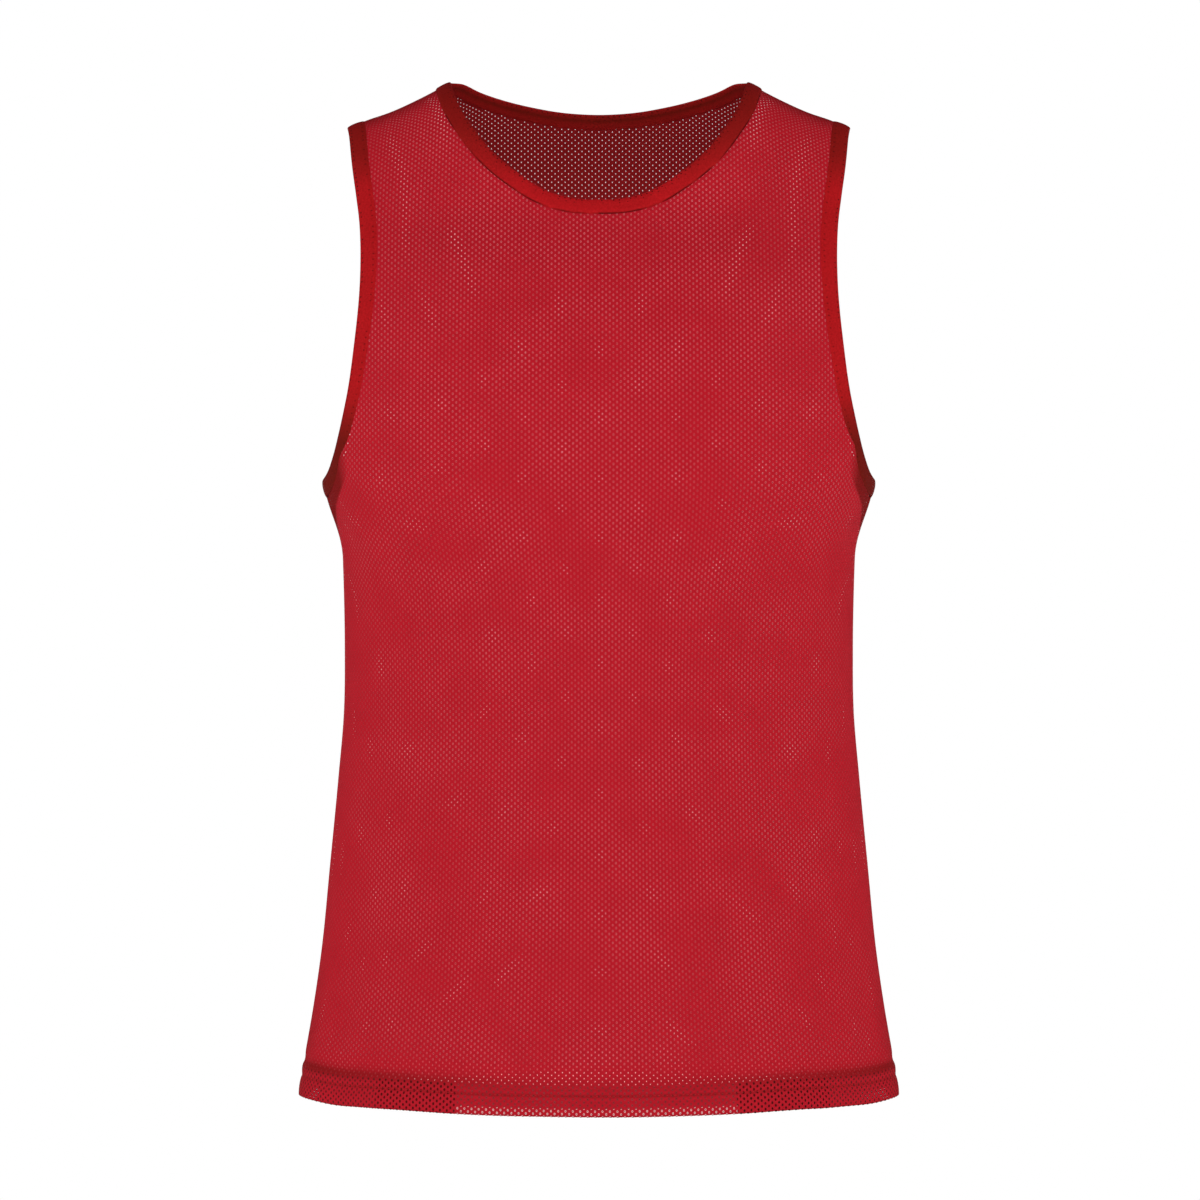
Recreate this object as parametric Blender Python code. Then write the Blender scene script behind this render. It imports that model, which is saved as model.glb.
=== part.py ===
"""Mesh training bib in its worn shape: a front and a back panel with turned-up hems, a neck band
and two armhole bands.

Metres, +Z up. The front faces -Y, and the wearer's left side is at +X. The origin is where the
shoulders hold the bib: midway between the neck ends of the two shoulder seams.

Every piece lies on one form, cloth(angle, run). The angle goes round the body: 0 at the centre line
and a quarter turn at the side seams. The run goes down along the cloth from the shoulder ridge:
negative down the front, positive down the back.
"""

import math

import bmesh
import bpy
import numpy as np

# Lengths of the finished garment.
LENGTH = 0.700  # neck end of the shoulder seam to the hem
HEM_HEIGHT = 0.023
NECK_BAND_WIDTH = 0.0115
ARMHOLE_BAND_WIDTH = 0.0125
UNDERARM_HEIGHT = -0.275

# Walls, measured to both sides of the form.
SEAM_GAP = 0.0003
PANEL_OUT, PANEL_IN = 0.0005, 0.0005
HEM_OUT, HEM_IN = 0.0007, 0.0013
BAND_OUT, BAND_IN = 0.0009, 0.0009
FOLD_OUT, FOLD_IN = 0.0004, 0.0004  # a band thins towards its folded edge
FOLD_ROUND = 0.0012
HEM_STEP = 0.0008  # the height over which the hem's edge thins to the single cloth

# The shoulder turns from the ridge into the fall of the cloth on this radius.
SHOULDER_ROUND = 0.090

# Below the underarm the side seam stands out in an ear that the armhole band pulls.
EAR_REACH = 0.0105
EAR_DROP = 0.054
EAR_RISE = 0.090
EAR_SPREAD = math.radians(25)

# Level rings of the body. "square" is the power of the ring's superellipse: 2 is an ellipse, less
# pinches it at the side seams and more makes it boxy.
RING_COLUMNS = ("height", "half_width", "front_depth", "back_depth", "square")
RINGS = (
    (-0.700, 0.2072, 0.112, 0.108, 1.85),
    (-0.670, 0.2029, 0.112, 0.107, 1.84),
    (-0.640, 0.1978, 0.112, 0.106, 1.83),
    (-0.600, 0.1920, 0.112, 0.104, 1.82),
    (-0.540, 0.1860, 0.112, 0.101, 1.82),
    (-0.480, 0.1802, 0.113, 0.098, 1.85),
    (-0.435, 0.1764, 0.114, 0.097, 1.88),
    (-0.390, 0.1758, 0.116, 0.098, 1.92),
    (-0.345, 0.1765, 0.117, 0.100, 2.05),
    (-0.310, 0.1775, 0.117, 0.102, 2.55),
    (-0.275, 0.1799, 0.117, 0.104, 3.10),
    (-0.235, 0.1848, 0.115, 0.107, 3.10),
    (-0.190, 0.1888, 0.108, 0.108, 2.95),
    (-0.140, 0.1925, 0.092, 0.106, 2.80),
    (-0.090, 0.1955, 0.067, 0.099, 2.65),
    (-0.040, 0.1985, 0.054, 0.087, 2.60),
    (0.000, 0.2000, 0.047, 0.080, 2.60),
    (0.040, 0.2000, 0.044, 0.074, 2.60),
)

# The line of the shoulders in the front view. Inside the neck it only shapes the cloth round it.
RIDGE_COLUMNS = ("across", "height")
RIDGE = (
    (0.000, 0.0350),
    (0.040, 0.0285),
    (0.075, 0.0145),
    (0.1026, 0.0000),
    (0.124, -0.0113),
    (0.145, -0.0208),
    (0.160, -0.0259),
    (0.174, -0.0318),
    (0.200, -0.0450),
    (0.215, -0.0530),
)

# Edges of the openings in the front view, from the centre line or the underarm to the ridge.
EDGE_COLUMNS = ("across", "height")
NECK_HALF_WIDTH = 0.1026
FRONT_NECK = (
    (0.0000, -0.0881),
    (0.0170, -0.0873),
    (0.0371, -0.0810),
    (0.0530, -0.0706),
    (0.0706, -0.0558),
    (0.0852, -0.0372),
    (0.0969, -0.0168),
)
BACK_NECK = (
    (0.0000, -0.0121),
    (0.0210, -0.0113),
    (0.0420, -0.0089),
    (0.0630, -0.0055),
    (0.0840, -0.0010),
    (0.0940, 0.0016),
)
SHOULDER_HALF_WIDTH = 0.1740
FRONT_ARMHOLE = (
    (0.1822, -0.2666),
    (0.1781, -0.2562),
    (0.1753, -0.2466),
    (0.1704, -0.2268),
    (0.1643, -0.1870),
    (0.1609, -0.1460),
    (0.1622, -0.1038),
    (0.1652, -0.0833),
    (0.1689, -0.0606),
    (0.1715, -0.0414),
)
BACK_ARMHOLE_WIDER = 0.005  # the back is scooped less, by this much at mid height

# Soft drape folds that rise from the hem: where they stand, how deep and wide they are there, and
# the height at which they have died out. A negative depth is a trough.
DRAPE_COLUMNS = ("side", "angle", "depth", "half_width", "top")
FRONT, BACK = -1, 1
DRAPE = (
    (FRONT, math.radians(-62), -0.0022, math.radians(8), -0.43),
    (FRONT, math.radians(-41), 0.0016, math.radians(10), -0.50),
    (FRONT, math.radians(-15), -0.0010, math.radians(9), -0.58),
    (FRONT, math.radians(12), 0.0010, math.radians(11), -0.55),
    (FRONT, math.radians(40), 0.0026, math.radians(11), -0.45),
    (FRONT, math.radians(66), -0.0016, math.radians(8), -0.48),
    (BACK, math.radians(-55), 0.0021, math.radians(10), -0.40),
    (BACK, math.radians(-31), -0.0024, math.radians(9), -0.33),
    (BACK, math.radians(-6), 0.0018, math.radians(11), -0.47),
    (BACK, math.radians(19), -0.0022, math.radians(9), -0.36),
    (BACK, math.radians(47), 0.0019, math.radians(10), -0.44),
)

DRAPE_FADE = 1.5  # the power by which a fold grows from its top to the hem

# Facets along each stretch.
NECK_STEPS = 12  # from the centre line to a shoulder
SHOULDER_STEPS = 4
ARMHOLE_STEPS = 18  # from the underarm to the ridge
SIDE_STEPS = 14  # from the hem's edge to the underarm
CLOSER_AT_ENDS = 0.5  # facets are shorter at the ridge and at an opening's lowest point
OFFSET_STEPS = 6
HEM_ROWS = 2

QUARTER = math.pi / 2
TINY = 1e-4
SETTLING_ROUNDS = 12
HALVINGS = 50
SHARP_ANGLE = math.radians(40)
ACROSS_MIRROR = np.array((-1, 1, 1))

MESH_RED = (0.43, 0.018, 0.028, 1)
BAND_RED = (0.30, 0.010, 0.014, 1)
CLOTH_ROUGHNESS = 0.75


def column(table, columns, name):
    """One named column of a table."""
    return np.array([row[columns.index(name)] for row in table])


def smooth(at, knots, values):
    """A curve with no corners through the values, held at its ends."""
    steepness = np.gradient(values, knots)
    i = np.clip(np.searchsorted(knots, at) - 1, 0, len(knots) - 2)
    step = knots[i + 1] - knots[i]
    t = np.clip((at - knots[i]) / step, 0, 1)
    rise = t * t * (3 - 2 * t)
    bend_in = t * (1 - t) ** 2 * step * steepness[i]
    bend_out = t * t * (t - 1) * step * steepness[i + 1]
    return values[i] + (values[i + 1] - values[i]) * rise + bend_in + bend_out


def ring(height, name):
    """A ring's size at a height."""
    return smooth(height, column(RINGS, RING_COLUMNS, "height"), column(RINGS, RING_COLUMNS, name))


def ridge(across):
    """The height of the shoulder line."""
    knots = column(RIDGE, RIDGE_COLUMNS, "across")
    heights = column(RIDGE, RIDGE_COLUMNS, "height")
    mirrored = np.concatenate([[-knots[1]], knots])
    return smooth(np.abs(across), mirrored, np.concatenate([[heights[1]], heights]))


def half_width(height, angle):
    """How far the cloth reaches to the side, with the ear at the underarm."""
    below = UNDERARM_HEIGHT - height
    turn = np.where(below > 0, below / EAR_DROP, -below / EAR_RISE)
    fade = np.cos(QUARTER * np.clip(turn, 0, 1)) ** 2
    near_side = np.exp(-(((QUARTER - np.abs(angle)) / EAR_SPREAD) ** 2))
    return ring(height, "half_width") + EAR_REACH * fade * near_side


def round_section(angle, square):
    """A point of the unit superellipse, as (sideways, forwards)."""
    size = (np.abs(np.sin(angle)) ** square + np.abs(np.cos(angle)) ** square) ** (1 / square)
    return np.sin(angle) / size, np.cos(angle) / size


def fall(run):
    """How far below the ridge the cloth is, and what part of its full depth it has reached."""
    turn = np.minimum(np.abs(run) / SHOULDER_ROUND, QUARTER)
    straight = np.abs(run) - turn * SHOULDER_ROUND
    return SHOULDER_ROUND * (1 - np.cos(turn)) + straight, np.sin(turn)


def drape(side, angle, height):
    """How far the drape folds push the cloth outwards."""
    push = np.zeros_like(angle)
    for fold_side, fold_angle, depth, width, top in DRAPE:
        fade = np.clip((top - height) / (top + LENGTH), 0, 1) ** DRAPE_FADE
        bell = np.exp(-(((angle - fold_angle) / width) ** 2))
        push += np.where(side == fold_side, depth * fade * bell, 0)
    return push


def cloth(angle, run):
    """Points of the form."""
    angle, run = np.broadcast_arrays(np.asarray(angle, float), np.asarray(run, float))
    drop, share = fall(run)
    across = half_width(-drop, angle) * np.sin(angle)
    for _ in range(SETTLING_ROUNDS):
        height = ridge(across) - drop
        sideways, forwards = round_section(angle, ring(height, "square"))
        across = half_width(height, angle) * sideways
    side = np.where(run < 0, FRONT, BACK)
    depth = np.where(run < 0, ring(height, "front_depth"), ring(height, "back_depth"))
    away = side * depth * share * forwards
    push = 1 + drape(side, angle, height) / np.maximum(np.hypot(across, away), SHOULDER_ROUND)
    return np.stack([across * push, away * push, height], axis=-1)


def slopes(angle, run):
    """How the form's points move with the angle and with the run, and the outward normal."""
    by_angle = (cloth(angle + TINY, run) - cloth(angle - TINY, run)) / (2 * TINY)
    tiny_run = TINY * SHOULDER_ROUND
    by_run = (cloth(angle, run + tiny_run) - cloth(angle, run - tiny_run)) / (2 * tiny_run)
    normal = np.cross(by_angle, by_run)
    return by_angle, by_run, normal / np.linalg.norm(normal, axis=-1, keepdims=True)


def run_to(across, height, side):
    """The run from the ridge down to a height."""
    drop = (ridge(across) - height) / SHOULDER_ROUND
    turn = np.where(drop < 1, np.arccos(1 - np.clip(drop, 0, 1)), QUARTER + drop - 1)
    return side * turn * SHOULDER_ROUND


def angle_to(across, height):
    """The angle of the form's point that lies this far across at a height."""
    low, high = np.zeros_like(across), np.full_like(across, QUARTER)
    for _ in range(HALVINGS):
        angle = (low + high) / 2
        reach = half_width(height, angle) * round_section(angle, ring(height, "square"))[0]
        low, high = np.where(reach < across, angle, low), np.where(reach < across, high, angle)
    return (low + high) / 2


def level(angle, height, side):
    """The (angle, run) pairs of a level line of the form."""
    sideways = round_section(angle, ring(height, "square"))[0]
    return np.stack([angle, run_to(half_width(height, angle) * sideways, height, side)], axis=-1)


def opening_edge(rows, centre_angle, steps, side):
    """Half of an opening's edge as (angle, run) pairs, from its lowest point to the ridge, with one
    pair more beyond either end. It crosses the centre angle level, and the ridge squarely."""
    across, height = np.array(rows, float).T
    angle, run = angle_to(across, height), run_to(across, height, side)
    angle = np.concatenate([[2 * centre_angle - angle[1]], angle, angle[-2:-1]])
    run = np.concatenate([run[1:2], run, -run[-2:-1]])
    points = cloth(angle, run)
    lengths = np.linalg.norm(np.diff(points, axis=0), axis=1)
    lengths[0], lengths[-1] = lengths[1], lengths[-2]
    along = np.cumsum(lengths)
    along = np.concatenate([[0], along]) - along[0]
    share = np.arange(-1, steps + 2) / steps
    share = share - CLOSER_AT_ENDS * np.sin(2 * math.pi * share) / (2 * math.pi)
    at = share * along[-2]
    return np.stack([smooth(at, along, angle), smooth(at, along, run)], axis=-1)


def moved(edge, width, sign):
    """The line on the form that lies a width away from an opening's edge."""
    angle, run = edge.T.copy()
    by_angle, by_run, normal = slopes(angle, run)
    by_step = np.gradient(edge, axis=0)
    across = sign * np.cross(normal, by_angle * by_step[:, :1] + by_run * by_step[:, 1:])
    for _ in range(OFFSET_STEPS):
        across = across - normal * (across * normal).sum(1, keepdims=True)
        across = across / np.linalg.norm(across, axis=1, keepdims=True)
        aa, ar, rr = (by_angle**2).sum(1), (by_angle * by_run).sum(1), (by_run**2).sum(1)
        a, r = (by_angle * across).sum(1), (by_run * across).sum(1)
        angle += (rr * a - ar * r) / (aa * rr - ar * ar) * width / OFFSET_STEPS
        run += (aa * r - ar * a) / (aa * rr - ar * ar) * width / OFFSET_STEPS
        by_angle, by_run, normal = slopes(angle, run)
    return np.stack([angle, run], axis=-1)


def neck_edge(side):
    """The neck opening's edge on one panel, from the centre line to the ridge."""
    rows = FRONT_NECK if side == FRONT else BACK_NECK
    return opening_edge(rows + ((NECK_HALF_WIDTH, 0.0),), 0, NECK_STEPS, side)


def armhole_edge(side):
    """An armhole's edge on one panel at +X, from the underarm to the ridge."""
    across, height = np.array(FRONT_ARMHOLE, float).T
    if side == BACK:
        up = (height - UNDERARM_HEIGHT) / (ridge(SHOULDER_HALF_WIDTH) - UNDERARM_HEIGHT)
        across = across + BACK_ARMHOLE_WIDER * np.sin(math.pi * up)
    lowest = (float(half_width(UNDERARM_HEIGHT, QUARTER)), UNDERARM_HEIGHT)
    highest = (SHOULDER_HALF_WIDTH, float(ridge(SHOULDER_HALF_WIDTH)))
    rows = (lowest, *zip(across, height), highest)
    return opening_edge(rows, QUARTER, ARMHOLE_STEPS, side)


def mirrored(line):
    """A line of (angle, run) pairs on the other half of the body, in the opposite order."""
    return line[::-1] * (-1, 1)


def between(start, end, steps):
    """Evenly spaced pairs from one to the other, without the first."""
    return start + (end - start) * np.arange(1, steps + 1)[:, None] / steps


def panel_grid(side):
    """The (angle, run) pairs of a panel's net, row by row from the hem up."""
    neck = moved(neck_edge(side), NECK_BAND_WIDTH + SEAM_GAP, side)[1:-1]
    armhole = moved(armhole_edge(side), ARMHOLE_BAND_WIDTH + SEAM_GAP, -side)[1:-1]
    shoulder = between(neck[-1], armhole[-1], SHOULDER_STEPS)
    half_top = np.concatenate([neck, shoulder])
    top = np.concatenate([mirrored(half_top), half_top[1:]])

    angles = np.linspace(-QUARTER, QUARTER, len(top))
    hem_top = -LENGTH + HEM_HEIGHT
    hem = [level(angles, np.full(len(top), height), side) for height in (-LENGTH, hem_top)]
    bottom = level(angles, np.full(len(top), hem_top + HEM_STEP), side)

    rise = np.linspace(hem_top + HEM_STEP, cloth(*armhole[0])[2], SIDE_STEPS + 1)
    seam = level(np.full(len(rise), QUARTER), rise, side)
    right = np.concatenate([seam, armhole[1:]])
    left = right * (-1, 1)

    u = np.linspace(0, 1, len(top))[None, :, None]
    v = np.linspace(0, 1, len(right))[:, None, None]
    between_ends = (1 - v) * bottom + v * top
    between_sides = (1 - u) * left[:, None] + u * right[:, None]
    corners = (1 - v) * ((1 - u) * bottom[0] + u * bottom[-1]) + v * ((1 - u) * top[0] + u * top[-1])
    return np.concatenate([hem, between_ends + between_sides - corners])


def material(name, colour):
    made = bpy.data.materials.new(name)
    made.use_nodes = True
    shader = made.node_tree.nodes["Principled BSDF"]
    shader.inputs["Base Color"].default_value = colour
    shader.inputs["Roughness"].default_value = CLOTH_ROUGHNESS
    shader.inputs["Metallic"].default_value = 0
    return made


def wall(name, outer, inner, closed, cloth_material):
    """A cloth wall between two nets of points. A closed one joins its last row to its first."""
    rows, columns = outer.shape[:2]
    mesh = bmesh.new()
    vertices = [[[mesh.verts.new(point) for point in row] for row in net] for net in (outer, inner)]
    out, into = vertices
    row_pairs = [(i, (i + 1) % rows) for i in range(rows if closed else rows - 1)]
    for low, high in row_pairs:
        for j in range(columns - 1):
            mesh.faces.new((out[low][j], out[low][j + 1], out[high][j + 1], out[high][j]))
            mesh.faces.new((into[low][j], into[high][j], into[high][j + 1], into[low][j + 1]))
        mesh.faces.new((out[low][0], out[high][0], into[high][0], into[low][0]))
        mesh.faces.new((out[high][-1], out[low][-1], into[low][-1], into[high][-1]))
    if not closed:
        for j in range(columns - 1):
            mesh.faces.new((out[0][j + 1], out[0][j], into[0][j], into[0][j + 1]))
            mesh.faces.new((out[-1][j], out[-1][j + 1], into[-1][j + 1], into[-1][j]))
    data = bpy.data.meshes.new(name)
    mesh.to_mesh(data)
    mesh.free()
    data.shade_smooth()
    data.set_sharp_from_angle(angle=SHARP_ANGLE)
    data.materials.append(cloth_material)
    made = bpy.data.objects.new(name, data)
    bpy.context.scene.collection.objects.link(made)
    return made


def panel(name, side, cloth_material):
    """The front or the back: one wall with its hem turned up inside it."""
    grid = panel_grid(side)
    points = cloth(grid[..., 0], grid[..., 1])
    normals = slopes(grid[..., 0], grid[..., 1])[2]
    hem_rows = np.arange(len(grid))[:, None, None] < HEM_ROWS
    outer = points + normals * np.where(hem_rows, HEM_OUT, PANEL_OUT)
    inner = points - normals * np.where(hem_rows, HEM_IN, PANEL_IN)
    for net in (outer, inner):
        # The side seams and the shoulder seams lie in the plane between the panels.
        net[: HEM_ROWS + SIDE_STEPS + 1, (0, -1), 1] = side * SEAM_GAP / 2
        net[-1, : SHOULDER_STEPS + 1, 1] = side * SEAM_GAP / 2
        net[-1, -SHOULDER_STEPS - 1 :, 1] = side * SEAM_GAP / 2
    if side == BACK:
        outer, inner = outer[:, ::-1], inner[:, ::-1]
    return wall(name, outer, inner, False, cloth_material)


def strip(edge_of, width, sign):
    """Points and normals of a folded strip at +X. Its rows go along the opening, from the front's
    lowest point over the ridge to the back's, and across from the fold to the seam."""
    points, normals = [], []
    for side, order in ((FRONT, slice(None)), (BACK, slice(-2, None, -1))):
        edge = edge_of(side)
        lines = (edge, moved(edge, FOLD_ROUND, sign * side), moved(edge, width, sign * side))
        pairs = np.stack([line[1:-1] for line in lines], axis=1)[order]
        points.append(cloth(pairs[..., 0], pairs[..., 1]))
        normals.append(slopes(pairs[..., 0], pairs[..., 1])[2])
    return np.stack([np.concatenate(points), np.concatenate(normals)])


def band(name, net, cloth_material):
    """A folded strip closed into a ring."""
    points, normals = net
    outer = points + normals * np.array((FOLD_OUT, BAND_OUT, BAND_OUT))[:, None]
    inner = points - normals * np.array((FOLD_IN, BAND_IN, BAND_IN))[:, None]
    return wall(name, outer, inner, True, cloth_material)


def neck_band(cloth_material):
    half = strip(neck_edge, NECK_BAND_WIDTH, 1)
    whole = np.concatenate([half, half[:, -2:0:-1] * ACROSS_MIRROR], axis=1)
    return band("neck_band", whole, cloth_material)


def armhole_bands(cloth_material):
    left = strip(armhole_edge, ARMHOLE_BAND_WIDTH, -1)[:, :-1]
    # Rows in the opposite order keep the left ring's faces outwards, and the mirror does the right's.
    band("armhole_band_left", left[:, ::-1], cloth_material)
    band("armhole_band_right", left * ACROSS_MIRROR, cloth_material)


for thing in list(bpy.data.objects):
    bpy.data.objects.remove(thing, do_unlink=True)

mesh_cloth = material("red_mesh", MESH_RED)
band_cloth = material("red_mesh_double", BAND_RED)
panel("front_panel", FRONT, mesh_cloth)
panel("back_panel", BACK, mesh_cloth)
neck_band(band_cloth)
armhole_bands(band_cloth)
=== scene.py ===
import math

import bpy
import numpy as np
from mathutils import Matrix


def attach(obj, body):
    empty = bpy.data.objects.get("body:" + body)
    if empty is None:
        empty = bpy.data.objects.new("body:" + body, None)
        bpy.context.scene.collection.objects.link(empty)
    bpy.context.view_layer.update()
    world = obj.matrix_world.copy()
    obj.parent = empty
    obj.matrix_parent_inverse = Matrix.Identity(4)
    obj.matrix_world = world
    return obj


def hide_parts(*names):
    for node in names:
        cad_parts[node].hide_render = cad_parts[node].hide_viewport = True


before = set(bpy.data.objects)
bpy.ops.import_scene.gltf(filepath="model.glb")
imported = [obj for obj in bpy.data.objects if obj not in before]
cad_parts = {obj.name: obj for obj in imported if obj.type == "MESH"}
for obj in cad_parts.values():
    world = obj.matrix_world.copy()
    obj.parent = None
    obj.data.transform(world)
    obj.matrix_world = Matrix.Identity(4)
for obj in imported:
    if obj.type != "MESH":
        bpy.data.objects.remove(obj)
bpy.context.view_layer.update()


# The camera. It stands level in front of the bib's middle, far enough off for a long lens.

CAMERA_PLACE = (0.0008, -2.4, -0.358)
CAMERA_LENS = 104
CAMERA_SENSOR = 36


def placed(name, data):
    """A new object in the scene, made of a mesh, a lamp or a camera."""
    made = bpy.data.objects.new(name, data)
    bpy.context.scene.collection.objects.link(made)
    return made


camera = placed("camera", bpy.data.cameras.new("camera"))
camera.data.lens = CAMERA_LENS
camera.data.sensor_width = CAMERA_SENSOR
camera.location = CAMERA_PLACE
camera.rotation_euler = (math.pi / 2, 0, 0)
bpy.context.scene.camera = camera
bpy.context.scene.view_settings.view_transform = "Standard"


# The studio. Three softboxes stand in front at about the bib's own height, and one behind it. Little
# light comes from above, so what faces up or hangs in the neck stays dark. The room is white paper.

WHITE = (1, 1, 1, 1)
ROOM_LIGHT, ROOM_LIGHT_ABOVE = 0.42, 0.06
DIMS_FROM, DIMS_TO = -0.1, 0.45
PAPER_WHITE = 1.0
FLOOR_HEIGHT = -1.45
FLOOR_SIZE = 7.4
FLOOR_GREY = (0.45, 0.45, 0.45, 1)
FLOOR_ROUGHNESS = 0.9
FLOOR_GLOW, FLOOR_GLOW_SEEN = 0.32, 0.72
BIB_MIDDLE = (0.0, 0.0, -0.38)
# Each softbox's name, place, width, height and watts.
SOFTBOXES = (
    ("softbox_middle", (0.0, -3.0, 0.35), 1.6, 1.3, 40),
    ("softbox_left", (-2.5, -1.2, 0.0), 1.2, 1.5, 36),
    ("softbox_right", (2.5, -1.2, 0.0), 1.2, 1.5, 36),
    ("softbox_back", (0.0, 3.0, 0.1), 2.2, 1.5, 60),
)


def step(tree, kind, feeds=(), **settings):
    """One node of a tree. feeds gives each input a value, or what another node puts out."""
    made = tree.nodes.new(kind)
    for name, value in settings.items():
        setattr(made, name, value)
    for key, value in dict(feeds).items():
        if isinstance(value, bpy.types.Node):
            value = value.outputs[0]
        if isinstance(value, bpy.types.NodeSocket):
            tree.links.new(value, made.inputs[key])
        else:
            made.inputs[key].default_value = value
    return made


def parts_of(tree, place):
    """A place's X, Y and Z."""
    return step(tree, "ShaderNodeSeparateXYZ", {0: place}).outputs


def new_finish(name, values):
    """A new material with its shader's own values set, its tree and its shader's inputs."""
    made = bpy.data.materials.new(name)
    made.use_nodes = True
    inputs = made.node_tree.nodes["Principled BSDF"].inputs
    for key, value in values.items():
        inputs[key].default_value = value
    return made, made.node_tree, inputs


world = bpy.data.worlds.new("room")
bpy.context.scene.world = world
world.use_nodes = True
room = world.node_tree
room.nodes.clear()
towards = parts_of(room, step(room, "ShaderNodeTexCoord").outputs["Generated"])
dimmer = step(room, "ShaderNodeMapRange", {
    "Value": towards["Z"], "From Min": DIMS_FROM, "From Max": DIMS_TO,
    "To Min": ROOM_LIGHT, "To Max": ROOM_LIGHT_ABOVE})
room_light = step(room, "ShaderNodeBackground", {"Color": WHITE, "Strength": dimmer})
paper = step(room, "ShaderNodeBackground", {"Color": WHITE, "Strength": PAPER_WHITE})
seen = step(room, "ShaderNodeLightPath").outputs["Is Camera Ray"]
shown = step(room, "ShaderNodeMixShader", {0: seen, 1: room_light, 2: paper})
step(room, "ShaderNodeOutputWorld", {"Surface": shown})

for name, place, width, height, watts in SOFTBOXES:
    lamp = placed(name, bpy.data.lights.new(name, "AREA"))
    lamp.data.shape = "RECTANGLE"
    lamp.data.size, lamp.data.size_y = width, height
    lamp.data.energy = watts
    lamp.location = place
    lamp.visible_camera = False
    aim = np.array(BIB_MIDDLE) - place
    turn = math.atan2(-aim[0], aim[1])
    tilt = math.atan2(aim[2], math.hypot(aim[0], aim[1]))
    lamp.rotation_euler = (math.pi / 2 + tilt, 0, turn)

floor_paint, tree, inputs = new_finish("pale_floor", {
    "Base Color": FLOOR_GREY, "Roughness": FLOOR_ROUGHNESS, "Emission Color": WHITE})
seen = step(tree, "ShaderNodeLightPath").outputs["Is Camera Ray"]
glow = step(tree, "ShaderNodeMapRange", {
    "Value": seen, "To Min": FLOOR_GLOW, "To Max": FLOOR_GLOW_SEEN})
tree.links.new(glow.outputs[0], inputs["Emission Strength"])
corners = [(x * FLOOR_SIZE / 2, y * FLOOR_SIZE / 2, FLOOR_HEIGHT) for x in (-1, 1) for y in (-1, 1)]
floor_mesh = bpy.data.meshes.new("floor")
floor_mesh.from_pydata(corners, [], [(0, 2, 3, 1)])
floor_mesh.materials.append(floor_paint)
placed("floor", floor_mesh)


# Front. One piece of red warp-knitted polyester mesh with a low round neck, scooped armholes and a
# flared foot. It hangs from the shoulder seams, and its lower edge is turned up inside as a hem.

LENGTH = 0.700
UNDERARM_HEIGHT = -0.275
NECK_BAND_WIDTH = 0.0115
ARMHOLE_BAND_WIDTH = 0.0125
SHOULDER_ROUND = 0.090
EAR_REACH = 0.0105
EAR_DROP = 0.054
EAR_RISE = 0.090
EAR_SPREAD = math.radians(25)
QUARTER = math.pi / 2
FRONT, BACK = -1, 1

RING_COLUMNS = ("height", "half_width", "front_depth", "back_depth", "square")
RINGS = (
    (-0.7, 0.2072, 0.112, 0.108, 1.85), (-0.67, 0.2029, 0.112, 0.107, 1.84),
    (-0.64, 0.1978, 0.112, 0.106, 1.83), (-0.6, 0.192, 0.112, 0.104, 1.82),
    (-0.54, 0.186, 0.112, 0.101, 1.82), (-0.48, 0.1802, 0.113, 0.098, 1.85),
    (-0.435, 0.1764, 0.114, 0.097, 1.88), (-0.39, 0.1758, 0.116, 0.098, 1.92),
    (-0.345, 0.1765, 0.117, 0.1, 2.05), (-0.31, 0.1775, 0.117, 0.102, 2.55),
    (-0.275, 0.1799, 0.117, 0.104, 3.1), (-0.235, 0.1848, 0.115, 0.107, 3.1),
    (-0.19, 0.1888, 0.108, 0.108, 2.95), (-0.14, 0.1925, 0.092, 0.106, 2.8),
    (-0.09, 0.1955, 0.067, 0.099, 2.65), (-0.04, 0.1985, 0.054, 0.087, 2.6),
    (0.0, 0.2, 0.047, 0.08, 2.6), (0.04, 0.2, 0.044, 0.074, 2.6),
)
RING = dict(zip(RING_COLUMNS, np.array(RINGS).T))
# Across and height, here and in the openings' edges below.
RIDGE = (
    (0.0, 0.035), (0.04, 0.0285), (0.075, 0.0145), (0.1026, 0.0), (0.124, -0.0113),
    (0.145, -0.0208), (0.16, -0.0259), (0.174, -0.0318), (0.2, -0.045), (0.215, -0.053),
)
NECK_HALF_WIDTH = 0.1026
FRONT_NECK = (
    (0.0, -0.0881), (0.017, -0.0873), (0.0371, -0.081), (0.053, -0.0706), (0.0706, -0.0558),
    (0.0852, -0.0372), (0.0969, -0.0168),
)
BACK_NECK = (
    (0.0, -0.0121), (0.021, -0.0113), (0.042, -0.0089), (0.063, -0.0055), (0.084, -0.001),
    (0.094, 0.0016),
)
SHOULDER_HALF_WIDTH = 0.1740
FRONT_ARMHOLE = (
    (0.1822, -0.2666), (0.1781, -0.2562), (0.1753, -0.2466), (0.1704, -0.2268), (0.1643, -0.187),
    (0.1609, -0.146), (0.1622, -0.1038), (0.1652, -0.0833), (0.1689, -0.0606), (0.1715, -0.0414),
)
BACK_ARMHOLE_WIDER = 0.005

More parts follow.
